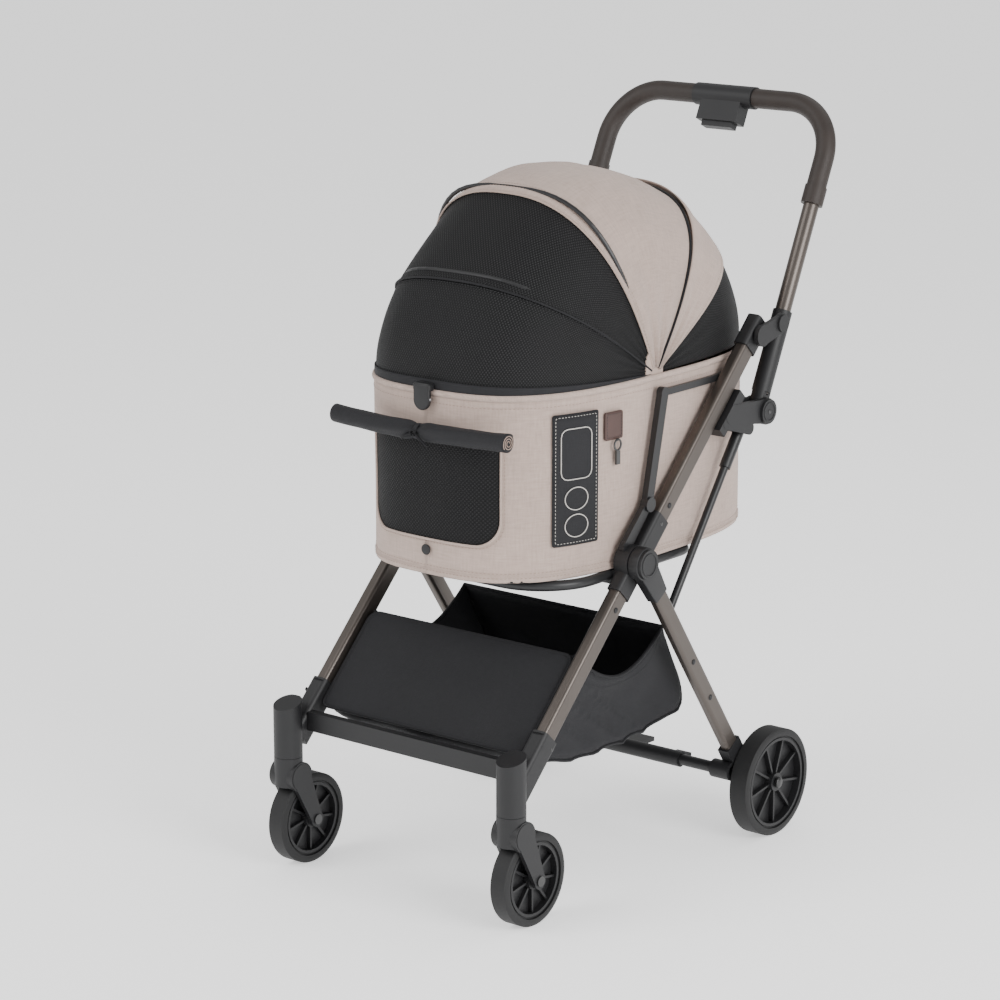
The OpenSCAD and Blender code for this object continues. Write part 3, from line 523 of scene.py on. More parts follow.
def makeRivetTree():
    tree, start, end = newTree("rivets", [("Radius", "NodeSocketFloat", 0.004), ("Height", "NodeSocketFloat", 0.002),
        ("Finish", "NodeSocketMaterial", None)])
    link = tree.links.new
    spots = addNode(tree, "GeometryNodeMeshToPoints")
    head = addNode(tree, "GeometryNodeMeshUVSphere", {"Segments": 14, "Rings": 8, "Radius": 1.0})
    size = addNode(tree, "ShaderNodeCombineXYZ")
    place = addNode(tree, "GeometryNodeInstanceOnPoints")
    whole = addNode(tree, "GeometryNodeRealizeInstances")
    colour = addNode(tree, "GeometryNodeSetMaterial")
    link(start.outputs["Geometry"], spots.inputs["Mesh"])
    link(start.outputs["Height"], size.inputs["X"])
    link(start.outputs["Radius"], size.inputs["Y"])
    link(start.outputs["Radius"], size.inputs["Z"])
    link(spots.outputs["Points"], place.inputs["Points"])
    link(head.outputs["Mesh"], place.inputs["Instance"])
    link(size.outputs["Vector"], place.inputs["Scale"])
    link(place.outputs["Instances"], whole.inputs["Geometry"])
    link(whole.outputs["Geometry"], colour.inputs["Geometry"])
    link(start.outputs["Finish"], colour.inputs["Material"])
    link(colour.outputs["Geometry"], end.inputs["Geometry"])
    return tree


stitchTree, rivetTree = makeStitchTree(), makeRivetTree()


def growFrom(source, tree, values, name, material):
    # runs a tree on a source object and keeps the result as a plain mesh
    modifier = source.modifiers.new("grow", "NODES")
    modifier.node_group = tree
    for item in tree.interface.items_tree:
        if item.item_type == "SOCKET" and item.in_out == "INPUT" and item.name in values:
            modifier[item.identifier] = values[item.name]
    bpy.context.view_layer.update()
    graph = bpy.context.evaluated_depsgraph_get()
    mesh = bpy.data.meshes.new_from_object(source.evaluated_get(graph))
    piece = bpy.data.objects.new(name, mesh)
    bpy.context.scene.collection.objects.link(piece)
    mesh.materials.clear()
    mesh.materials.append(finish[material])
    mesh.polygons.foreach_set("use_smooth", [True] * len(mesh.polygons))
    bpy.data.objects.remove(source)
    return piece


def stitchPiece(name, lines, material, body, slot, spacing=0.0055, length=0.0034, thickness=0.0008):
    curve = bpy.data.curves.new(name + "Line", "CURVE")
    curve.dimensions = "3D"
    for line in lines:
        spline = curve.splines.new("POLY")
        spline.points.add(len(line) - 1)
        for point, place in zip(spline.points, line):
            point.co = (*place, 1)
    source = bpy.data.objects.new(name + "Line", curve)
    bpy.context.scene.collection.objects.link(source)
    values = {"Spacing": spacing, "Length": length, "Thickness": thickness, "Thread": finish[material]}
    return dress(growFrom(source, stitchTree, values, name, material), body, slot)


def rivetPiece(name, spots, radius, height, material, body, slot):
    mesh = bpy.data.meshes.new(name + "Spots")
    mesh.from_pydata([tuple(p) for p in spots], [], [])
    source = bpy.data.objects.new(name + "Spots", mesh)
    bpy.context.scene.collection.objects.link(source)
    values = {"Radius": radius, "Height": height, "Finish": finish[material]}
    return dress(growFrom(source, rivetTree, values, name, material), body, slot)


# ---- carrier walls ----
shellLow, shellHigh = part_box("carrier_shell")
rimLow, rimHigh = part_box("rim_hoop")
pivot = joints["canopy_open"]["pos_m"]
plan = {"halfWidth": shellHigh.x, "middle": (shellLow.y + shellHigh.y) / 2,
    "halfLength": (shellHigh.y - shellLow.y) / 2, "power": 3.0}
wall = {"base": shellLow.z, "top": rimLow.z, "thickness": 0.003, "steps": 320, "rows": 44,
    "seams": (), "hem": 0.009}


def planPoint(turn, grow=0.0):
    c, s = math.cos(turn), math.sin(turn)
    power = 2 / plan["power"]
    return np.array([(plan["halfWidth"] + grow) * math.copysign(abs(c) ** power, c),
        plan["middle"] + (plan["halfLength"] + grow) * math.copysign(abs(s) ** power, s)])


def makePlanTable():
    # arc length round the plan from the middle of the front, towards +X
    turns = np.linspace(-math.pi / 2, 3 * math.pi / 2, 1441)
    places = np.array([planPoint(t) for t in turns])
    lengths = np.concatenate([[0], np.cumsum(np.linalg.norm(np.diff(places, axis=0), axis=1))])
    return lengths, places


planLengths, planPlaces = makePlanTable()
perimeter = planLengths[-1]
wall["seams"] = (0.130, perimeter - 0.130, perimeter / 2 - 0.16, perimeter / 2 + 0.16)


def wallAt(s, z, lift=0.0):
    s = s % perimeter
    step = 0.004
    here = [np.interp(s, planLengths, planPlaces[:, k]) for k in (0, 1)]
    ahead = [np.interp((s + step) % perimeter, planLengths, planPlaces[:, k]) for k in (0, 1)]
    behind = [np.interp((s - step) % perimeter, planLengths, planPlaces[:, k]) for k in (0, 1)]
    tangent = np.array([ahead[0] - behind[0], ahead[1] - behind[1]])
    tangent /= np.linalg.norm(tangent)
    return np.array([here[0] + tangent[1] * lift, here[1] - tangent[0] * lift, z])


def bump1(distance, width):
    return math.exp(-(distance / width) ** 2)


def wallLift(s, z):
    # how far the cloth stands off the plain wall: soft waves, corner seams and the turned-up hem
    rise = (z - wall["base"]) / (wall["top"] - wall["base"])
    round_ = s / perimeter * 2 * math.pi
    wave = noise.noise(Vector((math.cos(round_) * 2.2, math.sin(round_) * 2.2, rise * 1.3)))
    lift = 0.0016 * wave * math.sin(math.pi * min(1, rise * 1.1))
    for seam in wall["seams"]:
        away = min(abs(s - seam), perimeter - abs(s - seam))
        lift += 0.0019 * bump1(away, 0.0028) * min(1, 1.5 * (1 - rise))
        lift -= 0.0022 * bump1(away, 0.016) * (1 - rise)
    height = z - wall["base"]
    if height < wall["hem"]:
        lift += 0.0011
    lift -= 0.0008 * bump1(height - wall["hem"] - 0.001, 0.0012)
    return lift - 0.0006


def makeWalls():
    heights = [wall["base"] + h for h in (0, 0.0012, 0.004, 0.0075, 0.009, 0.0102, 0.012)]
    heights += list(np.linspace(wall["base"] + 0.018, wall["top"] + 0.001, wall["rows"]))
    grid = np.array([[wallAt(s, z, wallLift(s, z) - (0.0012 if k == 0 else 0))
        for s in np.linspace(0, perimeter, wall["steps"], endpoint=False)] for k, z in enumerate(heights)])
    grid = grid[:, ::-1]
    piece = clothPiece("carrierWalls", grid, "linen", wall["thickness"], loop=True, flip=True)
    declareSheet(piece, np.concatenate([grid, grid[:, :1]], axis=1))
    dress(piece, "carrier", "linen", "carrier_shell")
    rings = np.linspace(0.02, 1, 14)
    centre = np.array([0, plan["middle"]])
    under = np.array([[[*(centre + (planPoint(t, -0.001) - centre) * r), wall["base"] + 0.0006]
        for t in np.linspace(0, 2 * math.pi, 120, endpoint=False)] for r in rings])
    flat = under.reshape(-1, 3)
    underside = meshObject("carrierUnderside", flat, fanFaces(*under.shape[:2]), "nylon", uvs=flat[:, :2])
    layer = underside.modifiers.new("wall", "SOLIDIFY")
    layer.thickness, layer.offset = 0.002, 1.0
    declareSheet(underside, np.concatenate([under, under[:, :1]], axis=1),
        (2 * plan["halfWidth"], 2 * plan["halfLength"]))
    dress(underside, "carrier", "dark_cloth")


def makeRim():
    # the piped top edge, and the stitching under it and over the hem
    turns = np.linspace(0, 2 * math.pi, 260, endpoint=False)
    middle = (rimLow.z + rimHigh.z) / 2
    line = [(*planPoint(t, -0.0012), middle) for t in turns]
    points, faces = tubeMesh(line, 0.0034, 10, True, 1.25)
    piece = meshObject("carrierRim", points, faces, "linen", uvs=[(p[0] + p[2], p[1]) for p in points])
    fixNormals(piece)
    dress(piece, "carrier", "linen", "rim_hoop")
    rows = []
    for z, lift in ((wall["top"] - 0.009, 0.0004), (wall["base"] + 0.0065, 0.0004), (wall["base"] + 0.0125, 0.0004)):
        rows.append([wallAt(s, z, lift + wallLift(s, z)) for s in np.linspace(0, perimeter, 300)])
    stitchPiece("carrierStitching", rows, "linenThread", "carrier", "linen")


window = {"halfWidth": 0.110, "low": 0.048, "high": 0.184, "corner": 0.036, "lift": 0.0006, "rings": 16}


def makeWindow():
    low, high = wall["base"] + window["low"], wall["base"] + window["high"]
    outline = roundedOutline(window["halfWidth"], low, high, (window["corner"], 0.006, 0.006, window["corner"]), 10)
    dense = []
    for k, here in enumerate(outline):
        there = outline[(k + 1) % len(outline)]
        for part in np.linspace(0, 1, max(2, int(math.dist(here, there) / 0.006)), endpoint=False):
            dense.append((here[0] + (there[0] - here[0]) * part, here[1] + (there[1] - here[1]) * part))
    middle = (0, (low + high) / 2)
    def place(point, ring, lift):
        s = middle[0] + (point[0] - middle[0]) * ring
        z = middle[1] + (point[1] - middle[1]) * ring
        return wallAt(s, z, lift + wallLift(s, z))
    grid = np.array([[place(p, ring, window["lift"] + 0.0010 * (1 - ring ** 2)) for p in dense]
        for ring in np.linspace(0.01, 1, window["rings"])])
    uvs = [(p[0], p[2]) for p in grid.reshape(-1, 3)]
    piece = meshObject("windowNet", grid.reshape(-1, 3), fanFaces(*grid.shape[:2]), "windowNet", uvs=uvs)
    body = piece.modifiers.new("wall", "SOLIDIFY")
    body.thickness = 0.0008
    dress(piece, "carrier", "mesh", "window_mesh")
    edge = [place(p, 1.0, window["lift"] + 0.0006) for p in dense]
    points, faces = tubeMesh(edge, 0.0017, 8, True)
    hem = meshObject("windowBinding", points, faces, "linen", uvs=[(p[0], p[2]) for p in points])
    fixNormals(hem)
    dress(hem, "carrier", "linen")
    row = [place(p, 1.045, window["lift"] + 0.0004) for p in dense]
    stitchPiece("windowStitching", [row + row[:1]], "linenThread", "carrier", "linen", 0.005, 0.003)


def discPiece(name, s, z, radius, depth, material, slot, lift=0.002):
    here, ahead = wallAt(s, z, lift), wallAt(s + 0.004, z, lift)
    across = (ahead - here) / np.linalg.norm(ahead - here)
    outward = np.cross(across, (0, 0, 1))
    ring = [(radius * math.cos(t), radius * math.sin(t)) for t in np.linspace(0, 2 * math.pi, 40, endpoint=False)]
    piece = roundedPlate(name, ring, depth, here, (across, (0, 0, 1), outward), material, depth * 0.35)
    return dress(piece, "carrier", slot)


patch = {"s": 0.213, "halfWidth": 0.036, "low": 0.045, "high": 0.220, "corner": 0.003}


def wallPatch(name, s, outline, lift, material, slot, rings=8, thickness=0.0016):
    # a flat shape sewn to the curved wall
    middle = np.mean(outline, axis=0)
    grid = np.array([[wallAt(s + middle[0] + (p[0] - middle[0]) * r, middle[1] + (p[1] - middle[1]) * r, lift)
        for p in outline] for r in np.linspace(0.02, 1, rings)])
    uvs = [(s + middle[0] + (p[0] - middle[0]) * r, middle[1] + (p[1] - middle[1]) * r)
        for r in np.linspace(0.02, 1, rings) for p in outline]
    piece = meshObject(name, grid.reshape(-1, 3), fanFaces(*grid.shape[:2]), material, uvs=uvs)
    body = piece.modifiers.new("wall", "SOLIDIFY")
    body.thickness, body.offset = thickness, 1.0
    return dress(piece, "carrier", slot)


def denser(outline, step=0.006):
    dense = []
    for k, here in enumerate(outline):
        there = outline[(k + 1) % len(outline)]
        for part in np.linspace(0, 1, max(2, int(math.dist(here, there) / step)), endpoint=False):
            dense.append((here[0] + (there[0] - here[0]) * part, here[1] + (there[1] - here[1]) * part))
    return dense


def makePatch():
    low, high = wall["base"] + patch["low"], wall["base"] + patch["high"]
    outline = denser(roundedOutline(patch["halfWidth"], low, high, (patch["corner"],) * 4, 4))
    wallPatch("sidePatch", patch["s"], outline, 0.0018, "nylon", "dark_cloth")
    def row(shape, lift=0.0040):
        return [wallAt(patch["s"] + p[0], p[1], lift) for p in shape + shape[:1]]
    border = denser(roundedOutline(patch["halfWidth"] - 0.004, low + 0.004, high - 0.004, (0.003,) * 4, 4))
    stitchPiece("patchStitching", [row(border)], "paleThread", "carrier", "dark_cloth", 0.0048, 0.003, 0.0009)
    # plain embroidered outlines: a tall frame and two round ones
    lines = [row(denser(roundedOutline(0.024, low + 0.088, high - 0.020, (0.010,) * 4, 3)))]
    for z in (low + 0.062, low + 0.026):
        ring = [(0.018 * math.cos(t), z + 0.0150 * math.sin(t)) for t in np.linspace(0, 2 * math.pi, 36, endpoint=False)]
        lines.append(row(ring))
    tubePiece("patchEmbroidery", [line[:-1] for line in lines], 0.0007, "paleThread", "carrier", "dark_cloth",
        6, True)


tab = {"s": 0.277, "halfWidth": 0.0165, "low": 0.176, "high": 0.213}


def makeTab():
    low, high = wall["base"] + tab["low"], wall["base"] + tab["high"]
    outline = denser(roundedOutline(tab["halfWidth"], low, high, (0.003,) * 4, 4), 0.004)
    wallPatch("leatherTab", tab["s"], outline, 0.0018, "tabLeather", "grip", 6, 0.0024)
    inner = denser(roundedOutline(tab["halfWidth"] - 0.003, low + 0.003, high - 0.003, (0.002,) * 4, 3))
    row = [wallAt(tab["s"] + p[0], p[1], 0.0047) for p in inner + inner[:1]]
    stitchPiece("tabStitching", [row], "darkThread", "carrier", "grip", 0.004, 0.0026, 0.0007)


makeWalls()
makeRim()
makeWindow()
discPiece("frontSnap", 0.0, wall["base"] + 0.034, 0.0072, 0.0022, "plastic", "black_plastic")
makePatch()
makeTab()
print("carrier walls ready")


# ---- canopy: one continuous sheet from bow to bow, with seams where the cloth changes ----
canopy = {"halfWidth": plan["halfWidth"] - 0.003, "base": rimHigh.z + 0.001, "thickness": 0.0016, "steps": 96,
    "start": 0.8, "power": 2.5}
reaches = ((0, 0.256), (8, 0.248), (20, 0.241), (34, 0.240), (52, 0.250), (68, 0.259), (90, 0.262), (110, 0.264),
    (130, 0.271), (150, 0.283), (179, 0.300))
bowAngles = {"rim": 0.0, "middle": 34.0, "main": 68.0, "crown": 100.0, "zip": 130.0, "flap": 149.0, "back": 179.0}
sag = [(0.0, 34.0, 0.70), (34.0, 68.0, 0.85), (68.0, 100.0, 0.25), (100.0, 130.0, 0.25), (130.0, 179.0, 0.35)]


def reachAt(angle):
    # radius of the canopy over its pivots; the cloth is drawn in between the bows
    reach = np.interp(angle, *zip(*reaches))
    for low, high, share in sag:
        if low < angle < high:
            half = math.radians(high - low) / 2
            chord = math.cos(half) / math.cos(math.radians(angle - (low + high) / 2))
            reach *= 1 - share * (1 - chord)
    return reach


def makeRimTable():
    # how far the rim is from the pivots' middle in each direction
    offsets = planPlaces - np.array([0, pivot[1]])
    turns = np.unwrap(np.arctan2(offsets[:, 1], offsets[:, 0]))
    return turns, np.linalg.norm(offsets, axis=1)


rimTurns, rimReaches = makeRimTable()


def canopyPoint(angle, turn, sink=0.0):
    # an arch over the pivots, drawn out to the rim's own outline where it lies low
    power = 2 / canopy["power"]
    c, s = math.cos(math.radians(turn)), math.sin(math.radians(turn))
    a, reach = math.radians(angle), reachAt(angle) - sink
    x, out = (canopy["halfWidth"] - sink) * math.copysign(abs(c) ** power, c), reach * s ** power
    foot = math.atan2(-math.copysign(out, math.cos(a)), x)
    foot += 2 * math.pi if foot < rimTurns[0] else 0
    grow = (np.interp(foot, rimTurns, rimReaches) - 0.002 - sink) / math.hypot(x, out)
    grow = 1 + (grow - 1) * math.cos(a) ** 2
    return np.array([x * grow, pivot[1] - out * math.cos(a) * grow, canopy["base"] + out * math.sin(a)])


def canopyGrid(first, last, rows, sink=0.0, wrinkle=0.001, gather=0.0, flare=None):
    start = canopy["start"]
    turns = np.linspace(start, 180 - start, canopy["steps"])
    grid = np.array([[canopyPoint(a, t, sink) for t in turns] for a in np.linspace(first, last, rows)])
    normal = gridNormals(grid)
    centre = np.array([0, pivot[1], canopy["base"]])
    normal *= np.sign(np.sum(normal * (grid - centre), axis=2, keepdims=True))
    for i in range(rows):
        part = i / (rows - 1)
        edge = math.sin(math.pi * part)
        for j, turn in enumerate(turns):
            p = grid[i, j]
            lift = wrinkle * edge * noise.noise(Vector(p * 16))
            lift += wrinkle * 0.6 * edge * noise.noise(Vector((p[0] * 40, p[1] * 12, p[2] * 12)))
            if gather:
                near = math.exp(-(math.sin(math.radians(turn)) / 0.34) ** 2)
                ripple = math.sin(part * 21 + math.copysign(2, turn - 90))
                lift += gather * near * edge * (ripple + 0.6 * noise.noise(Vector((part * 9, turn * 0.02, 0))))
            if flare:
                lift += flare(part, turn)
            grid[i, j] = p + normal[i, j] * lift
    return grid


def canopySheet(name, grid, material, thickness=None):
    piece = clothPiece(name, grid, material, canopy["thickness"] if thickness is None else thickness, flip=True)
    declareSheet(piece, grid)
    return piece


def edgeLine(angle, lift=0.0, count=90):
    return [canopyPoint(angle, t, -lift) for t in np.linspace(canopy["start"], 180 - canopy["start"], count)]


def makeMainCanopy():
    grid = canopyGrid(bowAngles["main"] - 1.5, bowAngles["zip"], 40, -0.0012, 0.0030, 0.0035)
    main = canopySheet("canopyMain", grid, "linen")
    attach(main, "carrier")
    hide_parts("canopy_main")
    # the flap behind the zip stands proud at its front edge
    def lip(part, turn):
        return 0.007 * math.exp(-(part / 0.22) ** 2) * math.sin(math.radians(turn)) ** 2
    flapGrid = canopyGrid(bowAngles["zip"] - 4.0, bowAngles["flap"], 18, -0.0034, 0.0022, 0.003, lip)
    flap = canopySheet("canopyFlap", flapGrid, "linen")
    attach(flap, "carrier")
    rearGrid = canopyGrid(bowAngles["flap"] - 1.0, bowAngles["back"], 18, 0.001, 0.0012, 0.001)
    rear = canopySheet("canopyRearNet", rearGrid, "net")
    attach(rear, "carrier")
    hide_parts("canopy_rear")
    tubePiece("canopyZip", [edgeLine(bowAngles["zip"] - 4.6, 0.0022)], 0.0022, "nylon", "carrier", "dark_cloth", 8,
        False, 0.6)
    tubePiece("canopyWelt", [edgeLine(bowAngles["main"] - 1.6, 0.0012)], 0.0014, "linen", "carrier", "linen", 8)
    rows = [edgeLine(bowAngles["main"] + 1.2, 0.0016), edgeLine(bowAngles["main"] + 3.0, 0.0018)]
    rows += [[canopyPoint(bowAngles["flap"] - 2.0, t, -0.0042) for t in np.linspace(8, 172, 80)]]
    stitchPiece("canopyStitching", rows, "linenThread", "carrier", "linen", 0.005, 0.003, 0.0006)


def makeFrontCanopy():
    middle, low, top = bowAngles["middle"], bowAngles["rim"], bowAngles["main"]
    upperGrid = canopyGrid(middle, top + 0.5, 30, 0.0012, 0.0012, 0.0015)
    upper = canopySheet("canopyUpperNet", upperGrid, "net")
    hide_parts("canopy_mid")
    start, end = canopyPoint(top - 1.5, 90), canopyPoint(middle + 1.5, 90)
    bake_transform(upper)
    lowerGrid = canopyGrid(low, middle + 0.3, 30, 0.0014, 0.0012, 0.0012)
    lower = canopySheet("canopyLowerNet", lowerGrid, "net")
    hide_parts("canopy_front")
    start, end = canopyPoint(middle - 1.5, 90), canopyPoint(low + 3.0, 90)
    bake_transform(lower)
    tubePiece("canopySeam", [edgeLine(middle, 0.0001)], 0.0016, "nylon", "canopy_mid", "dark_cloth", 8)
    border = canopyGrid(low - 0.6, low + 2.6, 5, -0.0008, 0.0, 0.0)
    hem = clothPiece("canopyFrontHem", border, "nylon", 0.0022, flip=True)
    declareSheet(hem, border)
    dress(hem, "canopy_front", "dark_cloth")
    stitchPiece("canopyNetStitching", [edgeLine(middle + 0.9, 0.0002), edgeLine(middle - 0.9, 0.0002)], "darkThread",
        "canopy_mid", "dark_cloth", 0.005, 0.003, 0.0008)


makeMainCanopy()
makeFrontCanopy()
print("canopy ready")


# ---- rolled window shade, front latch ----
rollLow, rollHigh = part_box("shade_roll")
roll = {"half": 0.146, "radius": 0.0128, "y": rollLow.y + 0.013, "z": (rollLow.z + rollHigh.z) / 2, "droop": 0.004}


def rollCentre(x):
    share = x / roll["half"]
    return np.array([x, roll["y"] + 0.002 * share ** 2, roll["z"] - roll["droop"] * (1 - share ** 2)])


def rollRadius(x, turn):
    squeeze = 1 - 0.30 * bump1(x, 0.010)
    fold = 0.0011 * bump1(x, 0.06) * math.sin(5 * turn + 30 * x) + 0.0006 * noise.noise(Vector((x * 30, turn, 2)))
    step = 0.0016 * (((turn - 0.6) / (2 * math.pi)) % 1)
    return roll["radius"] * squeeze + fold - step


def makeRoll():
    turns, along = np.linspace(0, 2 * math.pi, 44, endpoint=False), np.linspace(-roll["half"], roll["half"], 90)
    points = [rollCentre(x) + rollRadius(x, t) * np.array([0, math.cos(t), math.sin(t)]) for x in along for t in turns]
    uvs = [(x, roll["radius"] * t) for x in along for t in turns]
    faces = gridFaces(len(along), len(turns), True)
    for end, order in ((0, 1), (len(along) - 1, -1)):
        faces.append(tuple(end * len(turns) + k for k in range(len(turns)))[::order])
    piece = meshObject("shadeRoll", points, faces, "nylon", uvs=uvs)
    fixNormals(piece)
    dress(piece, "carrier", "dark_cloth", "shade_roll")
    # the rolled layers show at both ends
    for side in (-1, 1):
        spiral = []
        for turn in np.linspace(0, 5.2 * math.pi, 90):
            r = 0.002 + 0.0085 * turn / (5.2 * math.pi)
            spiral.append(rollCentre(side * (roll["half"] + 0.0006)) + r * np.array([0, math.cos(turn), math.sin(turn)]))
        tubePiece("rollLayers" + ("Left" if side < 0 else "Right"), [spiral], 0.0006, "lining", "carrier",
            "linen", 6)
    # a ribbon ties the roll in the middle, with a knot and two short tails
    loop = [rollCentre(0) + (roll["radius"] * 0.72 + 0.0008) * np.array([0, math.cos(t), math.sin(t)])
        for t in np.linspace(0, 2 * math.pi, 32, endpoint=False)]
    points, faces = tubeMesh(loop, 0.0032, 8, True, 0.3, up=(0, 1, 0))
    ribbon = meshObject("tieRibbon", points, faces, "nylon", uvs=[(p[0], p[2]) for p in points])
    fixNormals(ribbon)
    dress(ribbon, "carrier", "dark_cloth")
    front = rollCentre(0) + np.array([0, -roll["radius"] * 0.75, 0])
    tails = []
    for side, drop in ((-1, 0.010), (1, 0.016)):
        tails.append([front + np.array([side * 0.022 * p, -0.003 * math.sin(math.pi * p), -drop * p ** 1.4])
            for p in np.linspace(0, 1, 12)])
    tails.append([front + np.array([0.004 * math.cos(t), -0.0035, 0.004 * math.sin(t)])
        for t in np.linspace(0.3, 5.6, 14)])
    tubePiece("tieTails", tails, 0.0021, "nylon", "carrier", "dark_cloth", 8, False, 0.45)


def makeLatch():
    low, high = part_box("front_latch")
    half = (high.x - low.x) / 2
    outline = [(half * math.cos(t), low.z + half + half * math.sin(t)) for t in np.linspace(math.pi, 2 * math.pi, 20)]
    outline += [(half, high.z - 0.004), (half - 0.003, high.z), (-half + 0.003, high.z), (-half, high.z - 0.004)]
    plate = roundedPlate("latchTongue", outline, 0.0066, (0, low.y + 0.0066, 0), ((1, 0, 0), (0, 0, 1), (0, -1, 0)),
        "plastic", 0.002)
    dress(plate, "front_latch", "black_plastic", "front_latch")
    hood = [(half + 0.0012, high.z - 0.009), (half + 0.0012, high.z - 0.001), (half - 0.002, high.z + 0.001),
        (-half + 0.002, high.z + 0.001), (-half - 0.0012, high.z - 0.001), (-half - 0.0012, high.z - 0.009)]
    top = roundedPlate("latchHood", hood, 0.0102, (0, high.y + 0.001, 0), ((1, 0, 0), (0, 0, 1), (0, -1, 0)),
        "plastic", 0.0016)
    dress(top, "front_latch", "black_plastic")
    middle = low.z + half + 0.002
    rivetPiece("latchScrews", [(x, low.y + 0.0045, middle) for x in (-half, half)], 0.0022, 0.0008, "steel",
        "front_latch", "steel")


makeRoll()
makeLatch()
print("shade and latch ready")


# ---- storage basket ----
panelLow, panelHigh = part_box("basket_panel")
bagLow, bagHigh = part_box("storage_basket")
basket = {"half": panelHigh.x - 0.002, "thickness": 0.0016, "sag": 0.010, "dip": 0.048}


def makePanel():
    # a stiffened flap between the front legs, rounded at its corners and bound all round
    lean = math.atan2((panelHigh.y - panelLow.y) - 0.0049, (panelHigh.z - panelLow.z) - 0.0050)
    upward = np.array([0, math.sin(lean), math.cos(lean)])
    outward = np.array([0, -math.cos(lean), math.sin(lean)])
    low = np.array([0, panelLow.y + 0.0035, panelLow.z + 0.0025])
    length = math.hypot(panelHigh.y - panelLow.y - 0.0049, panelHigh.z - panelLow.z - 0.0050)
    outline = denser(roundedOutline(basket["half"], 0.0, length, (0.010, 0.014, 0.014, 0.010), 6), 0.008)
    middle = (0.0, length / 2)
    rings = np.linspace(0.02, 1, 26)
    def place(p, ring, lift):
        a, b = p[0] * ring, middle[1] + (p[1] - middle[1]) * ring
        puff = 0.0022 * (1 - ring ** 4) + 0.0016 * noise.noise(Vector((a * 14, b * 20, 0.5))) * (1 - ring ** 3)
        return low + np.array([a, 0, 0]) + upward * b + outward * (puff + lift)
    grid = np.array([[place(p, r, 0.0) for p in outline] for r in rings])
    uvs = [(p[0] * r, middle[1] + (p[1] - middle[1]) * r) for r in rings for p in outline]
    piece = meshObject("basketPanel", grid.reshape(-1, 3), fanFaces(*grid.shape[:2]), "nylon", uvs=uvs)
    body = piece.modifiers.new("wall", "SOLIDIFY")
    body.thickness, body.offset = 0.004, 1.0
    fixNormals(piece)
    dress(piece, "chassis", "dark_cloth", "basket_panel")
    edge = [place(p, 1.0, 0.0016) for p in outline]
    points, faces = tubeMesh(edge, 0.0026, 8, True)
    binding = meshObject("panelBinding", points, faces, "nylon", uvs=[(p[0], p[2]) for p in points])
    fixNormals(binding)
    dress(binding, "chassis", "dark_cloth")
    row = [place(p, 0.955, 0.0026) for p in outline]
    stitchPiece("panelStitching", [row + row[:1]], "darkThread", "chassis", "dark_cloth", 0.005, 0.0032, 0.0008)


def smoothLine(corners, count):
    # a Catmull-Rom curve through the corners, in the side view
    corners = [np.array(c, float) for c in corners]
    corners = [2 * corners[0] - corners[1], *corners, 2 * corners[-1] - corners[-2]]
    line = []
    spans = len(corners) - 3
    for k in range(count):
        at = spans * k / (count - 1)
        n = min(int(at), spans - 1)
        t = at - n
        a, b, c, d = corners[n:n + 4]
        line.append(0.5 * (2 * b + (c - a) * t + (2 * a - 5 * b + 4 * c - d) * t ** 2
            + (3 * b - a - 3 * c + d) * t ** 3))
    return np.array(line)


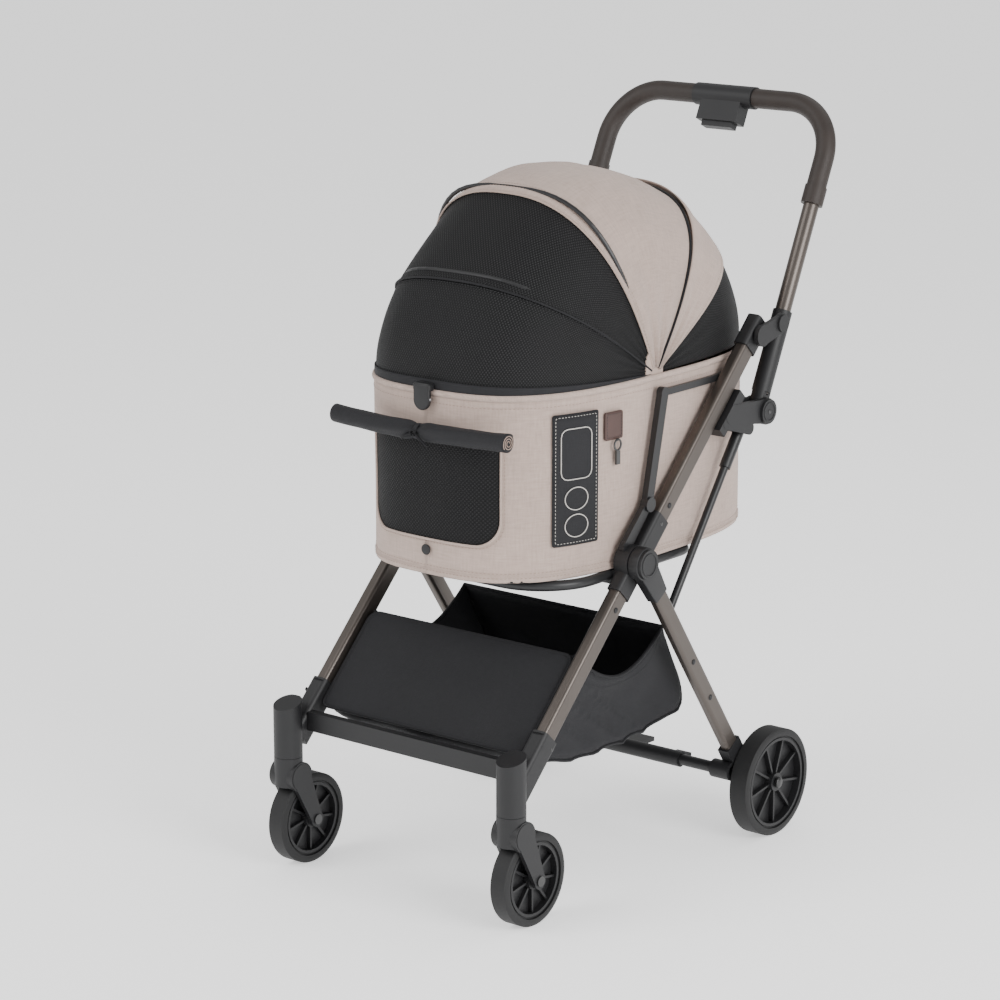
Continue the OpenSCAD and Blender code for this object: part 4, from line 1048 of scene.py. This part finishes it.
def makeBag():
    # one cloth from the left rim down its side, across the belly and up to the right rim, front to back
    front = np.array([panelHigh.y + 0.001, panelHigh.z - 0.002])
    frontLow = np.array([panelLow.y + 0.012, panelLow.z + 0.004])
    rearTop = np.array([bagHigh.y - 0.004, bagHigh.z - 0.002])
    rearLow = np.array([bagHigh.y + 0.052, bagLow.z + 0.026])
    rearTop = np.array([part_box("storage_basket")[1].y - 0.060, bagHigh.z - 0.004])
    rearLow = np.array([bagHigh.y - 0.006, bagLow.z + 0.030])
    belly = [front, frontLow, (frontLow[0] + 0.075, bagLow.z + 0.008), ((frontLow[0] + rearLow[0]) / 2, bagLow.z + 0.003),
        (rearLow[0] - 0.060, bagLow.z + 0.008), rearLow, rearTop]
    path = smoothLine(belly, 61)
    # the rim dips between its front and rear corners
    rimAt = np.linspace(0, 1, 61)
    rim = np.array([front + (rearTop - front) * t - np.array([0, basket["dip"] * math.sin(math.pi * t) ** 0.9])
        for t in rimAt])
    sideSteps, bellySteps = 16, 40
    grid = np.zeros((61, 2 * sideSteps + bellySteps + 1, 3))
    for i in range(61):
        for j in range(grid.shape[1]):
            if j < sideSteps:
                share, x = j / sideSteps, -1.0
            elif j > sideSteps + bellySteps:
                share, x = (grid.shape[1] - 1 - j) / sideSteps, 1.0
            else:
                share, x = 1.0, -1 + 2 * (j - sideSteps) / bellySteps
            y, z = rim[i] + (path[i] - rim[i]) * share
            away = abs(x) if share == 1.0 else 1.0
            hang = basket["sag"] * (1 - away ** 2) * math.sin(math.pi * i / 60)
            hollow = 0.006 * math.sin(math.pi * share) * math.sin(math.pi * i / 60) if share < 1 else 0
            grid[i, j] = (x * (basket["half"] - 0.001 - hollow), y, z - hang)
    for _ in range(5):
        inner = grid[1:-1, 1:-1]
        near = (grid[:-2, 1:-1] + grid[2:, 1:-1] + grid[1:-1, :-2] + grid[1:-1, 2:]) / 4
        grid[1:-1, 1:-1] = inner + 0.6 * (near - inner)
    normal = gridNormals(grid)
    centre = np.array([0, grid[..., 1].mean(), grid[..., 2].mean() + 0.03])
    normal *= np.sign(np.sum(normal * (grid - centre), axis=2, keepdims=True) + 1e-9)
    for i in range(61):
        for j in range(grid.shape[1]):
            p = grid[i, j]
            edge = min(1, min(i, 60 - i) / 5) * min(1, min(j, grid.shape[1] - 1 - j) / 4)
            slant = p[1] * 0.7 + p[2]
            crease = 1 - abs(noise.noise(Vector((p[0] * 5, slant * 26, 1.7)))) * 2.4
            fold = 0.0042 * max(0, crease) ** 2 + 0.003 * noise.noise(Vector(p * 17))
            grid[i, j] = p + normal[i, j] * (fold - 0.003) * edge
    grid[..., 2] = np.maximum(grid[..., 2], bagLow.z - 0.004)
    piece = clothPiece("storageBasket", grid, "nylon", basket["thickness"], flip=False, offset=0.0)
    declareSheet(piece, grid)
    dress(piece, "chassis", "dark_cloth", "storage_basket")
    lines = [grid[:, 0] + (0, 0, 0.001), grid[:, -1] + (0, 0, 0.001), grid[-1] + (0, 0, 0.001)]
    tubePiece("basketBinding", lines, 0.0024, "nylon", "chassis", "dark_cloth", 8)
    # the piped seam where each side wall meets the belly
    seams = [grid[2:-2, 16] + (-0.0012, 0, -0.0012), grid[2:-2, -17] + (0.0012, 0, -0.0012)]
    tubePiece("basketSeams", seams, 0.0020, "nylon", "chassis", "dark_cloth", 8)
    rows = [grid[:, 2] + (-0.0014, 0, 0), grid[:, -3] + (0.0014, 0, 0)]
    stitchPiece("basketStitching", rows, "darkThread", "chassis", "dark_cloth", 0.005, 0.0032, 0.0008)


makePanel()
makeBag()
print("basket ready")


# ---- floor pad, a quilted cushion ----
pad = {"pressure": 4.0, "voxel": 0.006, "frames": 20, "cap": 0.008, "inset": 0.004, "buttons": (0.07, 0.15)}


def makePad():
    low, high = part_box("floor_pad")
    turns = np.linspace(0, 2 * math.pi, 96, endpoint=False)
    centre = np.array([0, (low.y + high.y) / 2])
    half, length = high.x - pad["inset"] - 0.004, (high.y - low.y) / 2 - pad["inset"] - 0.004
    power = 2 / plan["power"]
    rim = [(half * math.copysign(abs(math.cos(t)) ** power, math.cos(t)),
        centre[1] + length * math.copysign(abs(math.sin(t)) ** power, math.sin(t))) for t in turns]
    levels = [(0.02, high.z - 0.003), (0.5, high.z - 0.003), (0.9, high.z - 0.004), (1.0, high.z - 0.008),
        (1.0, low.z + 0.006), (0.9, low.z + 0.002), (0.5, low.z + 0.002), (0.02, low.z + 0.002)]
    points = [(p[0] * r, centre[1] + (p[1] - centre[1]) * r, z) for r, z in levels for p in rim]
    faces = gridFaces(len(levels), len(rim), True)
    faces += [tuple(range(len(rim))), tuple((len(levels) - 1) * len(rim) + k for k in range(len(rim)))]
    piece = meshObject("floorPad", points, faces, "padCloth")
    fixNormals(piece)
    blowUp(piece)
    x = np.array([v.co for v in piece.data.vertices])
    for k, p in enumerate(x):
        if p[2] > (low.z + high.z) / 2:
            quilt = min(abs((p[0] / 0.085) % 1 - 0.5), abs((p[1] / 0.085) % 1 - 0.5))
            x[k, 2] -= 0.0030 * math.exp(-((0.5 - max(abs((p[0] / 0.085) % 1 - 0.5), abs((p[1] / 0.085) % 1 - 0.5)))
                / 0.06) ** 2) + 0 * quilt
        x[k, 2] = max(x[k, 2], low.z + 0.0006)
    piece.data.vertices.foreach_set("co", x.astype(np.float32).ravel())
    fine = piece.modifiers.new("fine", "SUBSURF")
    fine.levels = fine.render_levels = 1
    uv = piece.data.uv_layers.get("UVMap") or piece.data.uv_layers.new(name="UVMap")
    corner = np.zeros(len(piece.data.loops), np.int32)
    piece.data.loops.foreach_get("vertex_index", corner)
    uv.data.foreach_set("uv", x[corner][:, :2].astype(np.float32).ravel())
    dress(piece, "carrier", "dark_cloth", "floor_pad")


def blowUp(piece):
    # remeshed, swollen by cloth under pressure, and held to a few millimetres of its own shape
    remesh = piece.modifiers.new("remesh", "REMESH")
    remesh.mode, remesh.voxel_size = "VOXEL", pad["voxel"]
    graph = bpy.context.evaluated_depsgraph_get()
    mesh = bpy.data.meshes.new_from_object(piece.evaluated_get(graph))
    piece.modifiers.clear()
    mesh.materials.clear()
    mesh.materials.append(finish["padCloth"])
    piece.data = mesh
    before = np.array([v.co for v in mesh.vertices])
    cloth = piece.modifiers.new("cloth", "CLOTH")
    cloth.settings.use_pressure = True
    cloth.settings.uniform_pressure_force = pad["pressure"]
    cloth.settings.effector_weights.gravity = 0
    cloth.point_cache.frame_end = pad["frames"]
    for frameNumber in range(1, pad["frames"] + 1):
        bpy.context.scene.frame_set(frameNumber)
    graph = bpy.context.evaluated_depsgraph_get()
    swollen = bpy.data.meshes.new_from_object(piece.evaluated_get(graph))
    after = np.array([v.co for v in swollen.vertices])
    piece.modifiers.clear()
    bpy.context.scene.frame_set(1)
    move = after - before
    far = np.linalg.norm(move, axis=1, keepdims=True)
    move *= np.minimum(1, pad["cap"] / np.maximum(far, 1e-9)) * 0.7
    mesh.vertices.foreach_set("co", (before + move).astype(np.float32).ravel())
    mesh.polygons.foreach_set("use_smooth", [True] * len(mesh.polygons))
    bpy.data.meshes.remove(swollen)


makePad()
print("floor pad ready")


# ---- rivets, screws and caps on the frame ----
rivets = {"radius": 0.0040, "height": 0.0016}
sweep = joints["brace_slide"]["axis"]
legWay = Vector((0, -sweep[1], -sweep[2])).normalized()
rearWay = Vector((0, math.sin(math.radians(34.5)), -math.cos(math.radians(34.5))))


def alongNode(name, way, share):
    low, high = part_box(name)
    middle = (low + high) / 2
    reach = (high.z - low.z) / 2 / abs(way.z) * 0.93
    return middle + way * reach * (2 * share - 1)


def outerFace(name, way, share, proud=0.0002):
    low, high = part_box(name)
    place = alongNode(name, way, share)
    place.x = (high.x + proud) if high.x > 0 else (low.x - proud)
    return place


def makeRivets():
    groups = {"chassis": [], "rear_frame": [], "brace_slider": [], "handle": []}
    for side in ("left", "right"):
        groups["chassis"] += [outerFace("upper_leg_" + side, legWay, s) for s in (0.22,)]
        groups["chassis"] += [outerFace("lower_leg_" + side, legWay, s) for s in (0.80,)]
        groups["rear_frame"] += [outerFace("rear_leg_" + side, rearWay, s) for s in (0.50, 0.68)]
    for body, spots in groups.items():
        if spots:
            rivetPiece("rivets" + body.title().replace("_", ""), spots, rivets["radius"], rivets["height"], "plastic",
                body, "black_plastic")
    caps = []
    for side in ("left", "right"):
        for node, way, share in (("hub_bracket_", legWay, 0.86), ("caster_housing_", legWay, 0.80)):
            caps.append(outerFace(node + side, way, share, 0.0))
    rivetPiece("housingScrews", caps, 0.0028, 0.0009, "gunmetal", "chassis", "steel")


makeRivets()


def ringPiece(name, places, radius, body, slot="black_plastic", material="plastic", thick=0.0011):
    lines = []
    for place in places:
        lines.append([place + Vector((0, radius * math.cos(t), radius * math.sin(t)))
            for t in np.linspace(0, 2 * math.pi, 40, endpoint=False)])
    return tubePiece(name, lines, thick, material, body, slot, 8, True)


def makeCaps():
    # raised rings on the pivot caps and a screw in the middle of each slider disc
    low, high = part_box("pivot_pins")
    hub = Vector(joints["frame_fold"]["pos_m"])
    ringPiece("hubCapRings", [Vector((x, hub.y, hub.z)) for x in (low.x, high.x)], 0.0150, "chassis")
    hinge = Vector(joints["handle_fold"]["pos_m"])
    places, spots = [], []
    for side, sign in (("left", -1), ("right", 1)):
        low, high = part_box("brace_slider_" + side)
        face = high.x if sign > 0 else low.x
        places.append(Vector((face, hinge.y, hinge.z)))
        spots.append(Vector((face + 0.0002 * sign, hinge.y, hinge.z)))
    ringPiece("sliderRings", places, 0.0125, "brace_slider")
    rivetPiece("sliderScrews", spots, 0.0030, 0.0012, "gunmetal", "brace_slider", "steel")
    for side in ("left", "right"):
        low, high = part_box("rear_axles")
        axle = Vector(joints["rear_roll_" + side]["pos_m"])
        face = high.x if side == "right" else low.x
        rivetPiece("wheelBolt" + side.title(), [Vector((face, axle.y, axle.z))], 0.0075, 0.0022, "gunmetal",
            "rear_frame", "steel")


makeCaps()


def makeKnuckles():
    # moulded heads of the rear legs, round the hub and down the leg a little
    hub = Vector(joints["frame_fold"]["pos_m"])
    for side, sign in (("Left", -1), ("Right", 1)):
        low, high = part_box("rear_leg_" + side.lower())
        inner = min(abs(low.x), abs(high.x)) - 0.0004
        depth = abs(high.x - low.x) + 0.0006
        outline = [(0.0222 * math.cos(t), 0.0222 * math.sin(t)) for t in np.linspace(0.2, math.pi * 2 - 0.2, 40)]
        outline = [(a, b) for a, b in outline if a < 0.013]
        outline += [(0.060, -0.0140), (0.062, -0.0120), (0.062, 0.0120), (0.060, 0.0140)]
        across = (0, rearWay.y, rearWay.z)
        upward = (0, -rearWay.z, rearWay.y)
        piece = roundedPlate("legHead" + side, sorted(outline, key=lambda p: math.atan2(p[1], p[0] - 0.02)), depth,
            (sign * inner, hub.y, hub.z), (across, upward, (sign, 0, 0)), "plastic", 0.0014)
        dress(piece, "rear_frame", "black_plastic")


def makeGussets():
    # the gathered corners where the canopy meets the rim at its pivots
    for side, sign in (("Left", -1), ("Right", 1)):
        outline = roundedOutline(0.019, -0.004, 0.032, (0.004, 0.015, 0.015, 0.004), 8)
        piece = roundedPlate("canopyGusset" + side, outline, 0.0035,
            (sign * (plan["halfWidth"] - 0.0052), pivot[1], canopy["base"]), ((0, 1, 0), (0, 0, 1), (sign, 0, 0)),
            "linen", 0.0016)
        dress(piece, "carrier", "linen")


makeKnuckles()
makeGussets()
print("rivets and caps ready")

bpy.context.view_layer.update()
